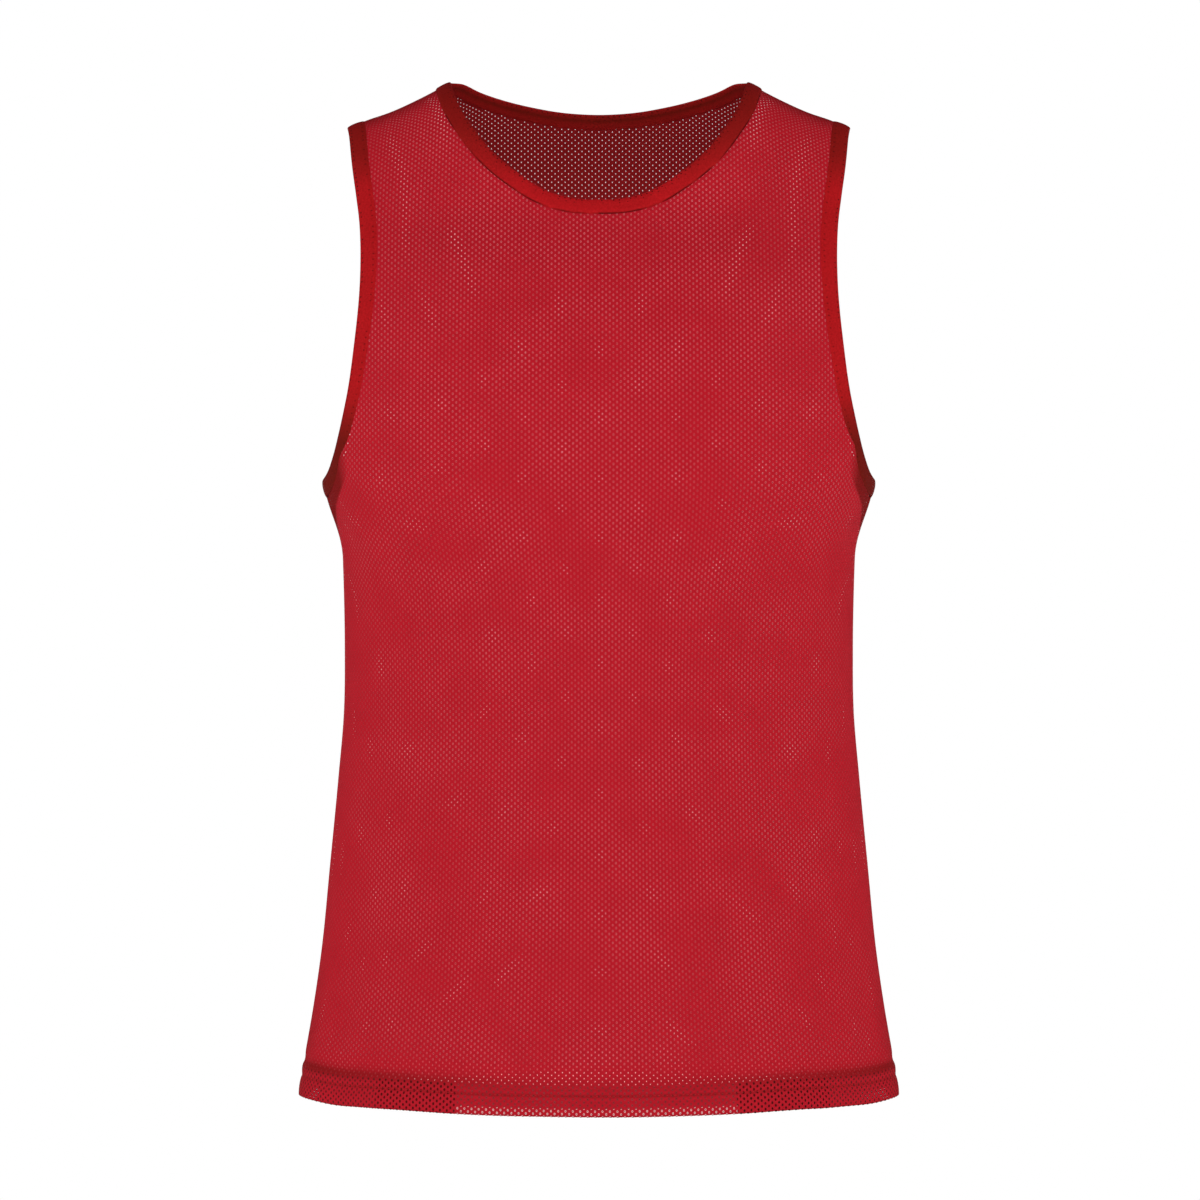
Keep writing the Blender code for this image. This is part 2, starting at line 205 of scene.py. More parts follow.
# Soft folds that rise from the hem: side, angle, depth, half width as an angle, and top. The
# angles are in degrees round from the centre line.
DRAPE = (
    (FRONT, -62, -0.0022, 8, -0.43), (FRONT, -41, 0.0016, 10, -0.5), (FRONT, -15, -0.001, 9, -0.58),
    (FRONT, 12, 0.001, 11, -0.55), (FRONT, 40, 0.0026, 11, -0.45), (FRONT, 66, -0.0016, 8, -0.48),
    (BACK, -55, 0.0021, 10, -0.4), (BACK, -31, -0.0024, 9, -0.33), (BACK, -6, 0.0018, 11, -0.47),
    (BACK, 19, -0.0022, 9, -0.36), (BACK, 47, 0.0019, 10, -0.44),
)
DRAPE_FADE = 1.5
SETTLING_ROUNDS = 9
EDGE_POINTS = 60
OFFSET_STEPS = 6
HALVINGS = 40
CLOSER_AT_ENDS = 0.5
TINY = 1e-4


def smooth(at, knots, values):
    """A curve with no corners through the values, held at its ends."""
    steepness = np.gradient(values, knots)
    i = np.clip(np.searchsorted(knots, at) - 1, 0, len(knots) - 2)
    gap = knots[i + 1] - knots[i]
    t = np.clip((at - knots[i]) / gap, 0, 1)
    rise = t * t * (3 - 2 * t)
    bend_in = t * (1 - t) ** 2 * gap * steepness[i]
    bend_out = t * t * (t - 1) * gap * steepness[i + 1]
    return values[i] + (values[i + 1] - values[i]) * rise + bend_in + bend_out


def ring(height, name):
    """A body ring's size at a height."""
    return smooth(height, RING["height"], RING[name])


def ridge(across):
    """The height of the shoulder line."""
    knots, heights = np.array(RIDGE).T
    return smooth(np.abs(across), np.append(-knots[1], knots), np.append(heights[1], heights))


def half_width(height, angle):
    """How far the cloth reaches to the side, with the ear that the armhole band pulls out."""
    below = UNDERARM_HEIGHT - height
    turn = np.where(below > 0, below / EAR_DROP, -below / EAR_RISE)
    fade = np.cos(QUARTER * np.clip(turn, 0, 1)) ** 2
    near_side = np.exp(-(((QUARTER - np.abs(angle)) / EAR_SPREAD) ** 2))
    return ring(height, "half_width") + EAR_REACH * fade * near_side


def round_section(angle, square):
    """A point of the unit superellipse, as (sideways, forwards)."""
    size = (np.abs(np.sin(angle)) ** square + np.abs(np.cos(angle)) ** square) ** (1 / square)
    return np.sin(angle) / size, np.cos(angle) / size


def fall(run):
    """How far below the shoulder line the cloth is, and what part of its depth it has reached."""
    turn = np.minimum(np.abs(run) / SHOULDER_ROUND, QUARTER)
    straight = np.abs(run) - turn * SHOULDER_ROUND
    return SHOULDER_ROUND * (1 - np.cos(turn)) + straight, np.sin(turn)


def drape(side, angle, height):
    """How far the soft folds push the cloth outwards."""
    push = np.zeros_like(angle)
    for fold_side, fold_angle, depth, width, top in DRAPE:
        fade = np.clip((top - height) / (top + LENGTH), 0, 1) ** DRAPE_FADE
        bell = np.exp(-(((angle - math.radians(fold_angle)) / math.radians(width)) ** 2))
        push += np.where(side == fold_side, depth * fade * bell, 0)
    return push


def body(angle, run):
    """Points of the bib's form, by the angle round it and the run of cloth from the shoulder line,
    which is negative on the front."""
    angle, run = np.broadcast_arrays(np.asarray(angle, float), np.asarray(run, float))
    drop, share = fall(run)
    across = half_width(-drop, angle) * np.sin(angle)
    for _ in range(SETTLING_ROUNDS):
        height = ridge(across) - drop
        sideways, forwards = round_section(angle, ring(height, "square"))
        across = half_width(height, angle) * sideways
    side = np.where(run < 0, FRONT, BACK)
    depth = np.where(run < 0, ring(height, "front_depth"), ring(height, "back_depth"))
    away = side * depth * share * forwards
    push = 1 + drape(side, angle, height) / np.maximum(np.hypot(across, away), SHOULDER_ROUND)
    return np.stack([across * push, away * push, height], axis=-1)


def slopes(angle, run):
    """How the form's points move with the angle and with the run, and the outward normal."""
    by_angle = (body(angle + TINY, run) - body(angle - TINY, run)) / (2 * TINY)
    tiny_run = TINY * SHOULDER_ROUND
    by_run = (body(angle, run + tiny_run) - body(angle, run - tiny_run)) / (2 * tiny_run)
    normal = np.cross(by_angle, by_run)
    return by_angle, by_run, normal / np.linalg.norm(normal, axis=-1, keepdims=True)


def run_to(across, height, side):
    """The run from the shoulder line down to a height."""
    drop = (ridge(across) - height) / SHOULDER_ROUND
    turn = np.where(drop < 1, np.arccos(1 - np.clip(drop, 0, 1)), QUARTER + drop - 1)
    return side * turn * SHOULDER_ROUND


def angle_to(across, height):
    """The angle of the form's point that lies this far across at a height."""
    low, high = np.zeros_like(across), np.full_like(across, QUARTER)
    for _ in range(HALVINGS):
        angle = (low + high) / 2
        reach = half_width(height, angle) * round_section(angle, ring(height, "square"))[0]
        low, high = np.where(reach < across, angle, low), np.where(reach < across, high, angle)
    return (low + high) / 2


def opening_edge(rows, centre_angle, side):
    """Half of an opening's edge as (angle, run) pairs, from its lowest point to the shoulder, with
    one pair more beyond either end."""
    across, height = np.array(rows, float).T
    angle, run = angle_to(across, height), run_to(across, height, side)
    angle = np.concatenate([[2 * centre_angle - angle[1]], angle, angle[-2:-1]])
    run = np.concatenate([run[1:2], run, -run[-2:-1]])
    points = body(angle, run)
    lengths = np.linalg.norm(np.diff(points, axis=0), axis=1)
    lengths[0], lengths[-1] = lengths[1], lengths[-2]
    along = np.append(0, np.cumsum(lengths)) - lengths[0]
    share = np.arange(-1, EDGE_POINTS + 2) / EDGE_POINTS
    share = share - CLOSER_AT_ENDS * np.sin(2 * math.pi * share) / (2 * math.pi)
    at = share * along[-2]
    return np.stack([smooth(at, along, angle), smooth(at, along, run)], axis=-1)


def moved(edge, width, sign):
    """The line on the form that lies a width away from an opening's edge."""
    angle, run = edge.T.copy()
    by_angle, by_run, normal = slopes(angle, run)
    by_step = np.gradient(edge, axis=0)
    across = sign * np.cross(normal, by_angle * by_step[:, :1] + by_run * by_step[:, 1:])
    for _ in range(OFFSET_STEPS):
        across = across - normal * (across * normal).sum(1, keepdims=True)
        across = across / np.linalg.norm(across, axis=1, keepdims=True)
        aa, ar, rr = (by_angle**2).sum(1), (by_angle * by_run).sum(1), (by_run**2).sum(1)
        a, r = (by_angle * across).sum(1), (by_run * across).sum(1)
        angle += (rr * a - ar * r) / (aa * rr - ar * ar) * width / OFFSET_STEPS
        run += (aa * r - ar * a) / (aa * rr - ar * ar) * width / OFFSET_STEPS
        by_angle, by_run, normal = slopes(angle, run)
    return np.stack([angle, run], axis=-1)


def neck_edge(side):
    """The neck opening's edge on one panel, from the centre line to the shoulder seam."""
    rows = FRONT_NECK if side == FRONT else BACK_NECK
    return opening_edge(rows + ((NECK_HALF_WIDTH, 0.0),), 0, side)


def armhole_edge(side):
    """An armhole's edge on one panel at +X, from the underarm to the shoulder seam."""
    across, height = np.array(FRONT_ARMHOLE, float).T
    if side == BACK:
        up = (height - UNDERARM_HEIGHT) / (ridge(SHOULDER_HALF_WIDTH) - UNDERARM_HEIGHT)
        across = across + BACK_ARMHOLE_WIDER * np.sin(math.pi * up)
    lowest = (float(half_width(UNDERARM_HEIGHT, QUARTER)), UNDERARM_HEIGHT)
    highest = (SHOULDER_HALF_WIDTH, float(ridge(SHOULDER_HALF_WIDTH)))
    rows = (lowest, *zip(across, height), highest)
    return opening_edge(rows, QUARTER, side)


# How the flat cut lies on the form: down is the run from the level of the neck points, and out is
# the way round from the centre line. Below the chest the cloth gives with the flare.
CHART_STEP = 0.004
CHART_TOP = -0.014
CHART_ANGLES = 181
CHART_ROUNDS = 4
CHART_BLEND = 7
JUST_OVER_ONE = 1.001
WIDEST_CUT = 0.275
CHEST_HEIGHT = -0.30
TOP_LOSS = SHOULDER_ROUND * (QUARTER - 1)
FOOT = LENGTH + TOP_LOSS
HEM_ALLOWANCE = 0.0225
HEM_TURN = 0.0006
# How far the hem stands off the form, by its rise above the foot.
HEM_LIFT = (
    (0.0, 0.0006), (0.004, 0.001), (0.009, 0.001), (0.013, 0.0005), (0.0145, 0.0001),
    (0.016, 0.0005), (0.019, 0.0008), (0.0215, 0.0007), (0.0235, 0.0), (0.0255, -0.0003),
    (0.03, 0.0), (0.04, 0.0),
)


def chart(side):
    """The table that turns places on the flat cut into angles on the form, and back."""
    rows = np.arange(CHART_TOP, FOOT + 2 * CHART_STEP, CHART_STEP)
    angles = np.linspace(0, QUARTER, CHART_ANGLES)
    down, angle = np.meshgrid(rows, angles, indexing="ij")
    run = down.copy()
    for _ in range(CHART_ROUNDS):
        run = down + ridge(body(angle, side * run)[..., 0])
    points = body(angle, side * run)
    lengths = np.linalg.norm(np.diff(points, axis=1), axis=-1)
    arc = np.concatenate([np.zeros((len(rows), 1)), np.cumsum(lengths, axis=1)], axis=1)
    chest = np.interp(TOP_LOSS - CHEST_HEIGHT, rows, arc[:, -1])
    give = np.where(rows > TOP_LOSS - CHEST_HEIGHT, arc[:, -1] / chest, 1)
    padded = np.pad(give, CHART_BLEND, mode="edge")
    give = np.convolve(padded, np.ones(2 * CHART_BLEND + 1) / (2 * CHART_BLEND + 1), mode="valid")
    out = arc / give[:, None]
    across = np.linspace(0, WIDEST_CUT, CHART_ANGLES)
    back = np.array([np.interp(across, row, angles) for row in out])
    past = np.maximum(across - out[:, -1:], 0)
    back += past * (angles[-1] - angles[-2]) / (out[:, -1:] - out[:, -2:-1])
    return out, back


# Each side's two tables: out by row and angle, and angle by row and out.
CHARTS = {side: chart(side) for side in (FRONT, BACK)}


def looked_up(table, down, share):
    """A value between a chart's rows and columns."""
    row = np.clip((down - CHART_TOP) / CHART_STEP, 0, len(table) - JUST_OVER_ONE)
    place = np.clip(share * (CHART_ANGLES - 1), 0, CHART_ANGLES - JUST_OVER_ONE)
    i, j = row.astype(int), place.astype(int)
    s, t = row - i, place - j
    upper = table[i, j] * (1 - t) + table[i, j + 1] * t
    lower = table[i + 1, j] * (1 - t) + table[i + 1, j + 1] * t
    return upper * (1 - s) + lower * s


def laid_flat(side, pairs):
    """Where (angle, run) pairs of the form lie on the flat cut."""
    angle, run = np.asarray(pairs, float).T
    down = side * run - ridge(body(angle, run)[:, 0])
    out = looked_up(CHARTS[side][0], down, np.abs(angle) / QUARTER) * np.sign(angle)
    return np.stack([out, down], axis=-1)


def seam_out(side, down):
    """How far out the side seam is on the flat cut."""
    return looked_up(CHARTS[side][0], down, np.ones_like(down))


# Soft creases, each a trough or a ridge along a straight line of the cut, dying out at its ends.
# Each row is a side, out and down where it starts, the same where it ends, half width and depth.
CREASES = (
    (FRONT, -0.246, 0.318, -0.222, 0.372, 0.0055, -0.0016),
    (FRONT, -0.232, 0.33, -0.176, 0.392, 0.011, -0.0012),
    (FRONT, -0.214, 0.3, -0.13, 0.35, 0.013, 0.0012),
    (FRONT, 0.246, 0.318, 0.224, 0.366, 0.0055, -0.0017),
    (FRONT, 0.236, 0.334, 0.172, 0.404, 0.012, -0.0013),
    (FRONT, 0.205, 0.292, 0.142, 0.336, 0.012, 0.001),
    (FRONT, -0.128, 0.06, -0.098, 0.17, 0.012, -0.0012),
    (FRONT, 0.13, 0.066, 0.106, 0.15, 0.011, -0.001),
    (FRONT, -0.06, 0.52, -0.08, 0.735, 0.015, -0.0011),
    (FRONT, 0.085, 0.56, 0.11, 0.748, 0.013, -0.0013),
    (FRONT, 0.17, 0.61, 0.196, 0.748, 0.01, 0.0012),
    (FRONT, -0.165, 0.64, -0.19, 0.748, 0.01, 0.0013),
    (BACK, -0.243, 0.32, -0.214, 0.376, 0.006, -0.0017),
    (BACK, -0.228, 0.326, -0.158, 0.384, 0.012, -0.0013),
    (BACK, 0.244, 0.322, 0.218, 0.372, 0.006, -0.0015),
    (BACK, 0.23, 0.33, 0.166, 0.398, 0.012, -0.0014),
    (BACK, -0.15, 0.12, -0.06, 0.142, 0.014, 0.0013),
    (BACK, 0.06, 0.15, 0.148, 0.118, 0.015, 0.0012),
    (BACK, -0.04, 0.4, 0.05, 0.42, 0.014, -0.0014),
    (BACK, -0.09, 0.44, -0.01, 0.452, 0.011, -0.001),
    (BACK, 0.01, 0.48, -0.014, 0.7, 0.015, -0.0013),
    (BACK, 0.12, 0.54, 0.14, 0.748, 0.013, 0.0012),
    (BACK, -0.13, 0.56, -0.158, 0.748, 0.014, -0.0012),
)
SEAM_DIP = 0.0006
SEAM_DIP_WIDTH = 0.0022
CREASE_FADE = 1.5


def creased(side, out, down):
    """How far the creases lift the cloth."""
    lift = np.zeros_like(out)
    for of_side, x0, y0, x1, y1, width, depth in CREASES:
        if of_side == side:
            length = math.hypot(x1 - x0, y1 - y0)
            along = ((out - x0) * (x1 - x0) + (down - y0) * (y1 - y0)) / length
            across = ((out - x0) * (y1 - y0) - (down - y0) * (x1 - x0)) / length
            fade = np.sin(math.pi * np.clip(along / length, 0, 1)) ** CREASE_FADE
            lift += depth * fade * np.exp(-((across / width) ** 2))
    return lift


def hung(side, out, down):
    """Where places on the flat cut hang: points, the outward normals there, and how far off the side
    seam and the shoulder seam are."""
    past = down - (FOOT - HEM_TURN)
    turn = np.clip(past / HEM_TURN, 0, math.pi)
    inside = np.maximum(past - math.pi * HEM_TURN, 0)
    level = np.minimum(down, FOOT - HEM_TURN) + HEM_TURN * np.sin(turn) - inside
    lift = smooth(FOOT - level, *np.array(HEM_LIFT).T)
    angle = looked_up(CHARTS[side][1], level, np.abs(out) / WIDEST_CUT)
    angle = np.minimum(angle, QUARTER) * np.sign(out)
    run = level.copy()
    for _ in range(CHART_ROUNDS):
        run = level + ridge(body(angle, side * run)[:, 0])
    points = body(angle, side * run)
    normals = slopes(angle, side * run)[2]
    away = np.where(past < 0, lift, HEM_TURN * np.cos(turn))
    away += creased(side, out, level)
    to_side = seam_out(side, level) - np.abs(out)
    for to_seam in (to_side, run):
        away -= SEAM_DIP * np.exp(-((to_seam / SEAM_DIP_WIDTH) ** 2))
    return points + normals * away[:, None], normals, to_side, run


# The mesh itself: an even net of small holes, alternate wales of it half a course lower.
WALE_PITCH = 0.00242
COURSE_PITCH = 0.0039
HOLE_WIDTH = 0.00060
HOLE_HEIGHT = 0.00070
LENGTHS_MEET = 0.468
HAIR = 1e-6
# As shares of a wale's pitch and of a cell's area.
SAME_PLACE, LEAST_FACE = 0.02, 1e-3


def tree_of(*terms):
    """The tree that the terms are in. Plain numbers are in none."""
    return next(term.id_data for term in terms if hasattr(term, "id_data"))


def sum_of(operation, *terms):
    """A rule of arithmetic, worked again for each term past the second."""
    pair = dict(enumerate(terms[:2]))
    made = step(tree_of(*terms), "ShaderNodeMath", pair, operation=operation).outputs[0]
    return sum_of(operation, made, *terms[2:]) if terms[2:] else made


def times(*terms):
    """A product."""
    return sum_of("MULTIPLY", *terms)


def plus(*terms):
    """A sum."""
    return sum_of("ADD", *terms)


def minus(first, second):
    """A difference."""
    return sum_of("SUBTRACT", first, second)


def over(first, second):
    """A ratio."""
    return sum_of("DIVIDE", first, second)


def new_tree(name, kind, takes, gives):
    """A new tree with its named inputs and outputs, and what its inputs hold."""
    tree = bpy.data.node_groups.new(name, kind)
    for way, sockets in (("INPUT", takes), ("OUTPUT", gives)):
        for socket, holds in sockets.items():
            tree.interface.new_socket(socket, in_out=way, socket_type="NodeSocket" + holds)
    return tree, step(tree, "NodeGroupInput").outputs


def mesh_knitting():
    """The tree that knits a flat cut: one ring of six faces round each hole, trimmed to the cut."""
    tree, sizes = new_tree("mesh_knitting", "GeometryNodeTree", {
        "Cut": "Geometry", "Wale Pitch": "Float", "Course Pitch": "Float", "Hole Width": "Float",
        "Hole Height": "Float", "From": "Float", "To": "Float", "Cloth": "Material"},
        {"Mesh": "Geometry"})
    wale, course = sizes["Wale Pitch"], sizes["Course Pitch"]

    # A grid of places for the cells, as large as the cut and as fine as the net.
    box = step(tree, "GeometryNodeBoundBox", {"Geometry": sizes["Cut"]}).outputs
    low, high = parts_of(tree, box["Min"]), parts_of(tree, box["Max"])
    first = sum_of("MAXIMUM", low["Y"], sizes["From"])
    last = sum_of("MINIMUM", high["Y"], sizes["To"])
    reach = sum_of("MAXIMUM", high["X"], times(low["X"], -1.0))
    wales = plus(sum_of("CEIL", over(reach, wale)), 1.0)
    start = minus(sum_of("FLOOR", over(first, course)), 1.0)
    end = plus(sum_of("CEIL", over(last, course)), 1.0)
    courses = minus(end, start)
    grid = step(tree, "GeometryNodeMeshGrid", {
        "Size X": times(wales, 2.0, wale), "Vertices X": plus(times(wales, 2.0), 1.0),
        "Size Y": times(courses, course), "Vertices Y": plus(courses, 1.0)})
    middle = times(plus(start, end), 0.5)
    centre = step(tree, "ShaderNodeCombineXYZ", {"Y": times(middle, course)})
    places = step(tree, "GeometryNodeTransform", {"Geometry": grid, "Translation": centre})

    # Only this length's places stay, and of those only the ones on the cut.
    at = step(tree, "GeometryNodeInputPosition")
    xyz = parts_of(tree, at)
    half_course = times(course, 0.5)
    too_high = sum_of("LESS_THAN", xyz["Y"], minus(sizes["From"], HAIR))
    too_low = sum_of("GREATER_THAN", xyz["Y"], minus(sizes["To"], HAIR))
    this_length = step(tree, "GeometryNodeDeleteGeometry", {
        "Geometry": places, "Selection": sum_of("MAXIMUM", too_high, too_low)})
    number = sum_of("ROUND", over(xyz["X"], wale))
    odd = sum_of("FLOORED_MODULO", number, 2.0)
    lower = step(tree, "ShaderNodeCombineXYZ", {"Y": times(odd, half_course)})
    staggered = step(tree, "GeometryNodeSetPosition", {"Geometry": this_length, "Offset": lower})
    near = step(tree, "GeometryNodeProximity", {0: sizes["Cut"], 2: at}, target_element="FACES")
    outside = sum_of("GREATER_THAN", near.outputs["Distance"], half_course)
    stations = step(tree, "GeometryNodeDeleteGeometry", {"Geometry": staggered, "Selection": outside})

    # A cell: six corners shared with its neighbours, and the hole's six corners within them.
    six = step(tree, "GeometryNodeMeshCircle", {"Vertices": 6, "Radius": 1.0}, fill_type="NONE")
    cell_size = step(tree, "ShaderNodeCombineXYZ", {
        "X": times(wale, 2 / 3), "Y": times(half_course, 1 / math.sin(math.pi / 3))})
    corners = step(tree, "ShaderNodeVectorMath", {0: at, 1: cell_size}, operation="MULTIPLY")
    cell_rim = step(tree, "GeometryNodeSetPosition", {"Geometry": six, "Position": corners})
    inward = step(tree, "GeometryNodeExtrudeMesh", {"Mesh": cell_rim, "Offset Scale": 0.0}, mode="EDGES")
    hole_share = step(tree, "ShaderNodeCombineXYZ", {
        "X": over(times(sizes["Hole Width"], 3 / 4), wale),
        "Y": over(sizes["Hole Height"], course)})
    hole_corners = step(tree, "ShaderNodeVectorMath", {0: at, 1: hole_share}, operation="MULTIPLY")
    top = inward.outputs["Top"]
    hole = step(tree, "GeometryNodeSetPosition", {
        "Geometry": inward, "Selection": top, "Position": hole_corners})
    cell = step(tree, "GeometryNodeStoreNamedAttribute", {"Geometry": hole, "Name": "rim", "Value": top},
                data_type="FLOAT", domain="POINT")

    # The net: the cells joined at their corners, trimmed to the cut's edge.
    cells = step(tree, "GeometryNodeInstanceOnPoints", {"Points": stations, "Instance": cell})
    net = step(tree, "GeometryNodeRealizeInstances", {0: cells})
    net = step(tree, "GeometryNodeMergeByDistance", {
        "Geometry": net, "Distance": times(wale, SAME_PLACE)})
    trimmed = step(tree, "GeometryNodeSampleNearestSurface", {
        "Mesh": sizes["Cut"], "Value": at, "Sample Position": at}, data_type="FLOAT_VECTOR")
    net = step(tree, "GeometryNodeSetPosition", {"Geometry": net, "Position": trimmed.outputs["Value"]})
    sliver = sum_of("LESS_THAN", step(tree, "GeometryNodeInputMeshFaceArea"),
                    times(wale, course, LEAST_FACE))
    net = step(tree, "GeometryNodeDeleteGeometry", {"Geometry": net, "Selection": sliver}, domain="FACE")
    net = step(tree, "GeometryNodeSetShadeSmooth", {"Geometry": net})
    net = step(tree, "GeometryNodeSetMaterial", {"Geometry": net, "Material": sizes["Cloth"]})
    step(tree, "NodeGroupOutput", {0: net})
    return tree


MESH_KNITTING = mesh_knitting()


def worked(name, data, tree, values):
    """The piece that a tree makes of a mesh, with the tree's inputs given by name."""
    start = placed(name + "_start", data)
    work = start.modifiers.new("work", "NODES")
    work.node_group = tree
    for socket in tree.interface.items_tree:
        if socket.name in values:
            work[socket.identifier] = values[socket.name]
    ready = start.evaluated_get(bpy.context.evaluated_depsgraph_get())
    made = bpy.data.meshes.new_from_object(ready)
    start.modifiers.remove(work)
    bpy.data.objects.remove(start)
    made.name = name
    return placed(name, made)


def knitted(name, outline, start, end):
    """A length of mesh, still flat, with the whole cut's outline given as places in metres."""
    cut = bpy.data.meshes.new(name)
    cut.from_pydata([(x, y, 0) for x, y in outline], [], [tuple(range(len(outline)))])
    return worked(name, cut, MESH_KNITTING, {
        "Wale Pitch": WALE_PITCH, "Course Pitch": COURSE_PITCH, "Hole Width": HOLE_WIDTH,
        "Hole Height": HOLE_HEIGHT, "From": start, "To": end, "Cloth": mesh_cloth})


def flat_places(piece):
    """The places of a piece's vertices, as an array."""
    places = np.empty(3 * len(piece.data.vertices))
    piece.data.vertices.foreach_get("co", places)
    return places.reshape(-1, 3)


def keep_layout(data, name, layout):
    """Keeps a place on a flat layout for each corner of a mesh's faces."""
    layer = data.uv_layers.new(name=name)
    layer.data.foreach_set("uv", layout.astype(np.float32).ravel())


def keep_shares(data, name, shares):
    """Keeps a number for each vertex of a mesh."""
    kept = data.attributes.new(name, "FLOAT", "POINT")
    kept.data.foreach_set("value", shares.astype(np.float32))


BAKE_MARGIN = 0.002


def lay_out(piece, places):
    """Keeps the flat places on the piece: in metres for the knit, and over the whole square."""
    corners = np.empty(len(piece.data.loops), dtype=np.int32)
    piece.data.loops.foreach_get("vertex_index", corners)
    flat = places[:, :2]
    span = np.ptp(flat, axis=0)
    whole = BAKE_MARGIN + (1 - 2 * BAKE_MARGIN) * (flat - flat.min(axis=0)) / span
    keep_layout(piece.data, "flat", flat[corners])
    keep_layout(piece.data, "OFBake", whole[corners])


def hang(piece, points):
    """Moves the piece's vertices to where they hang."""
    piece.data.vertices.foreach_set("co", np.asarray(points, np.float32).ravel())
    piece.data.update()


# A panel's raw edge lies inside the folded band, at this share of its width from the fold.
UNDER_BANDS = 0.45
SHOULDER_POINTS = 14
FOOT_POINTS = 40
SEAM_POINTS = 58


def shoulder_seam():
    """The shoulder seam at +X as (angle, run) pairs, from under the armhole band to the neck band."""
    across = np.linspace(SHOULDER_HALF_WIDTH - ARMHOLE_BAND_WIDTH * UNDER_BANDS,
                         NECK_HALF_WIDTH + NECK_BAND_WIDTH * UNDER_BANDS, SHOULDER_POINTS)
    return np.stack([angle_to(across, ridge(across)), np.zeros_like(across)], axis=-1)


def panel_outline(side):
    """The panel's cut, from the centre of the hem allowance round one side and back."""
    neck = laid_flat(side, moved(neck_edge(side), NECK_BAND_WIDTH * UNDER_BANDS, side)[1:-1])
    shoulder = laid_flat(side, shoulder_seam())[1:-1]
    armhole = armhole_edge(side)
    armhole = laid_flat(side, moved(armhole, ARMHOLE_BAND_WIDTH * UNDER_BANDS, -side)[1:-1])
    at_foot = np.full(FOOT_POINTS, FOOT)
    foot = looked_up(CHARTS[side][0], at_foot, np.linspace(0, 1, FOOT_POINTS))
    foot = np.stack([foot, at_foot + HEM_ALLOWANCE], axis=-1)
    downs = np.linspace(FOOT + HEM_ALLOWANCE, armhole[0, 1], SEAM_POINTS + 2)[1:-1]
    seam_level = np.where(downs > FOOT, 2 * FOOT - downs, downs)
    seam = np.stack([seam_out(side, seam_level), downs], axis=-1)
    half = np.concatenate([foot, seam, armhole, shoulder, neck[::-1]])
    return np.concatenate([half, half[-2:0:-1] * (-1, 1)])


MESH_RED = (0.47, 0.0100, 0.0200, 1)
MESH_DARK_RED = (0.40, 0.0075, 0.0160, 1)
BACKING_AND_SHADE_RED = (0.17, 0.0045, 0.0035, 1)
INNER_SIDE_SHADE_RED = (0.235, 0.0070, 0.0085, 1)
HOLE_GLINT_RED = (0.66, 0.13, 0.15, 1)
HOLE_SHADE_RED = (0.05, 0.003, 0.004, 1)
INNER_HOLE_GLINT_RED = (0.40, 0.11, 0.14, 1)
LIT_HOLE_EDGE_PINK = (0.85, 0.55, 0.55, 1)
SHEEN_RED = (1.0, 0.06, 0.09, 1)
KNIT_PITCH = 0.00061
KNIT_RELIEF = 0.00007
LOOP_LEAN = 1.2
FUZZ_PER_LOOP = 0.45
DYE_CLOUDS, DYE_CLOUDS_SHARE = 34.0, 0.16
FUZZ_SHARE, DYE_LEVEL, DYE_FADE = 0.45, 0.195, (0.3, 0.7)
PATCHES, PATCH_FADE, PATCH_LEAST = 22.0, (0.35, 0.65), 0.45
PALE_EDGE, DARK_EDGE = (0.62, 0.9), (0.5, 0.8)


def knit_relief():
    """A group with the relief of the fine loops between the holes, and their uneven dye."""
    group, given = new_tree("fine_knit", "ShaderNodeTree", {"Place": "Vector", "Pitch": "Float"},
                            {"Relief": "Float", "Unevenness": "Float"})
    turns = over(2 * math.pi, given["Pitch"])
    xyz = parts_of(group, given["Place"])
    x, y = times(xyz["X"], turns), times(xyz["Y"], turns)
    lean = plus(y, times(sum_of("SINE", x), LOOP_LEAN))
    loops = times(sum_of("COSINE", lean), 0.5)
    fuzz = step(group, "ShaderNodeTexNoise", {
        "Vector": given["Place"], "Scale": over(FUZZ_PER_LOOP, given["Pitch"]), "Detail": 3.0})
    cloud = step(group, "ShaderNodeTexNoise", {
        "Vector": given["Place"], "Scale": DYE_CLOUDS, "Detail": 3.0})
    clouds, fuzzy = times(cloud, DYE_CLOUDS_SHARE), times(fuzz, FUZZ_SHARE)
    step(group, "NodeGroupOutput", {
        "Relief": plus(sum_of("COSINE", x), loops, fuzz),
        "Unevenness": plus(clouds, fuzzy, DYE_LEVEL)})
    return group


FINE_KNIT = knit_relief()


def dyed(share, first, second):
    """One colour turning into another."""
    return step(tree_of(share), "ShaderNodeMix", {0: share, "A": first, "B": second},
                data_type="RGBA").outputs["Result"]


def from_to(value, low, high):
    """0 below the low value and 1 above the high one, smoothly between."""
    return step(tree_of(value), "ShaderNodeMapRange", {0: value, 1: low, 2: high},
                interpolation_type="SMOOTHSTEP").outputs[0]


def kept_share(tree, name):
    """A share that is kept on a piece's vertices."""
    return step(tree, "ShaderNodeAttribute", attribute_name=name).outputs["Fac"]


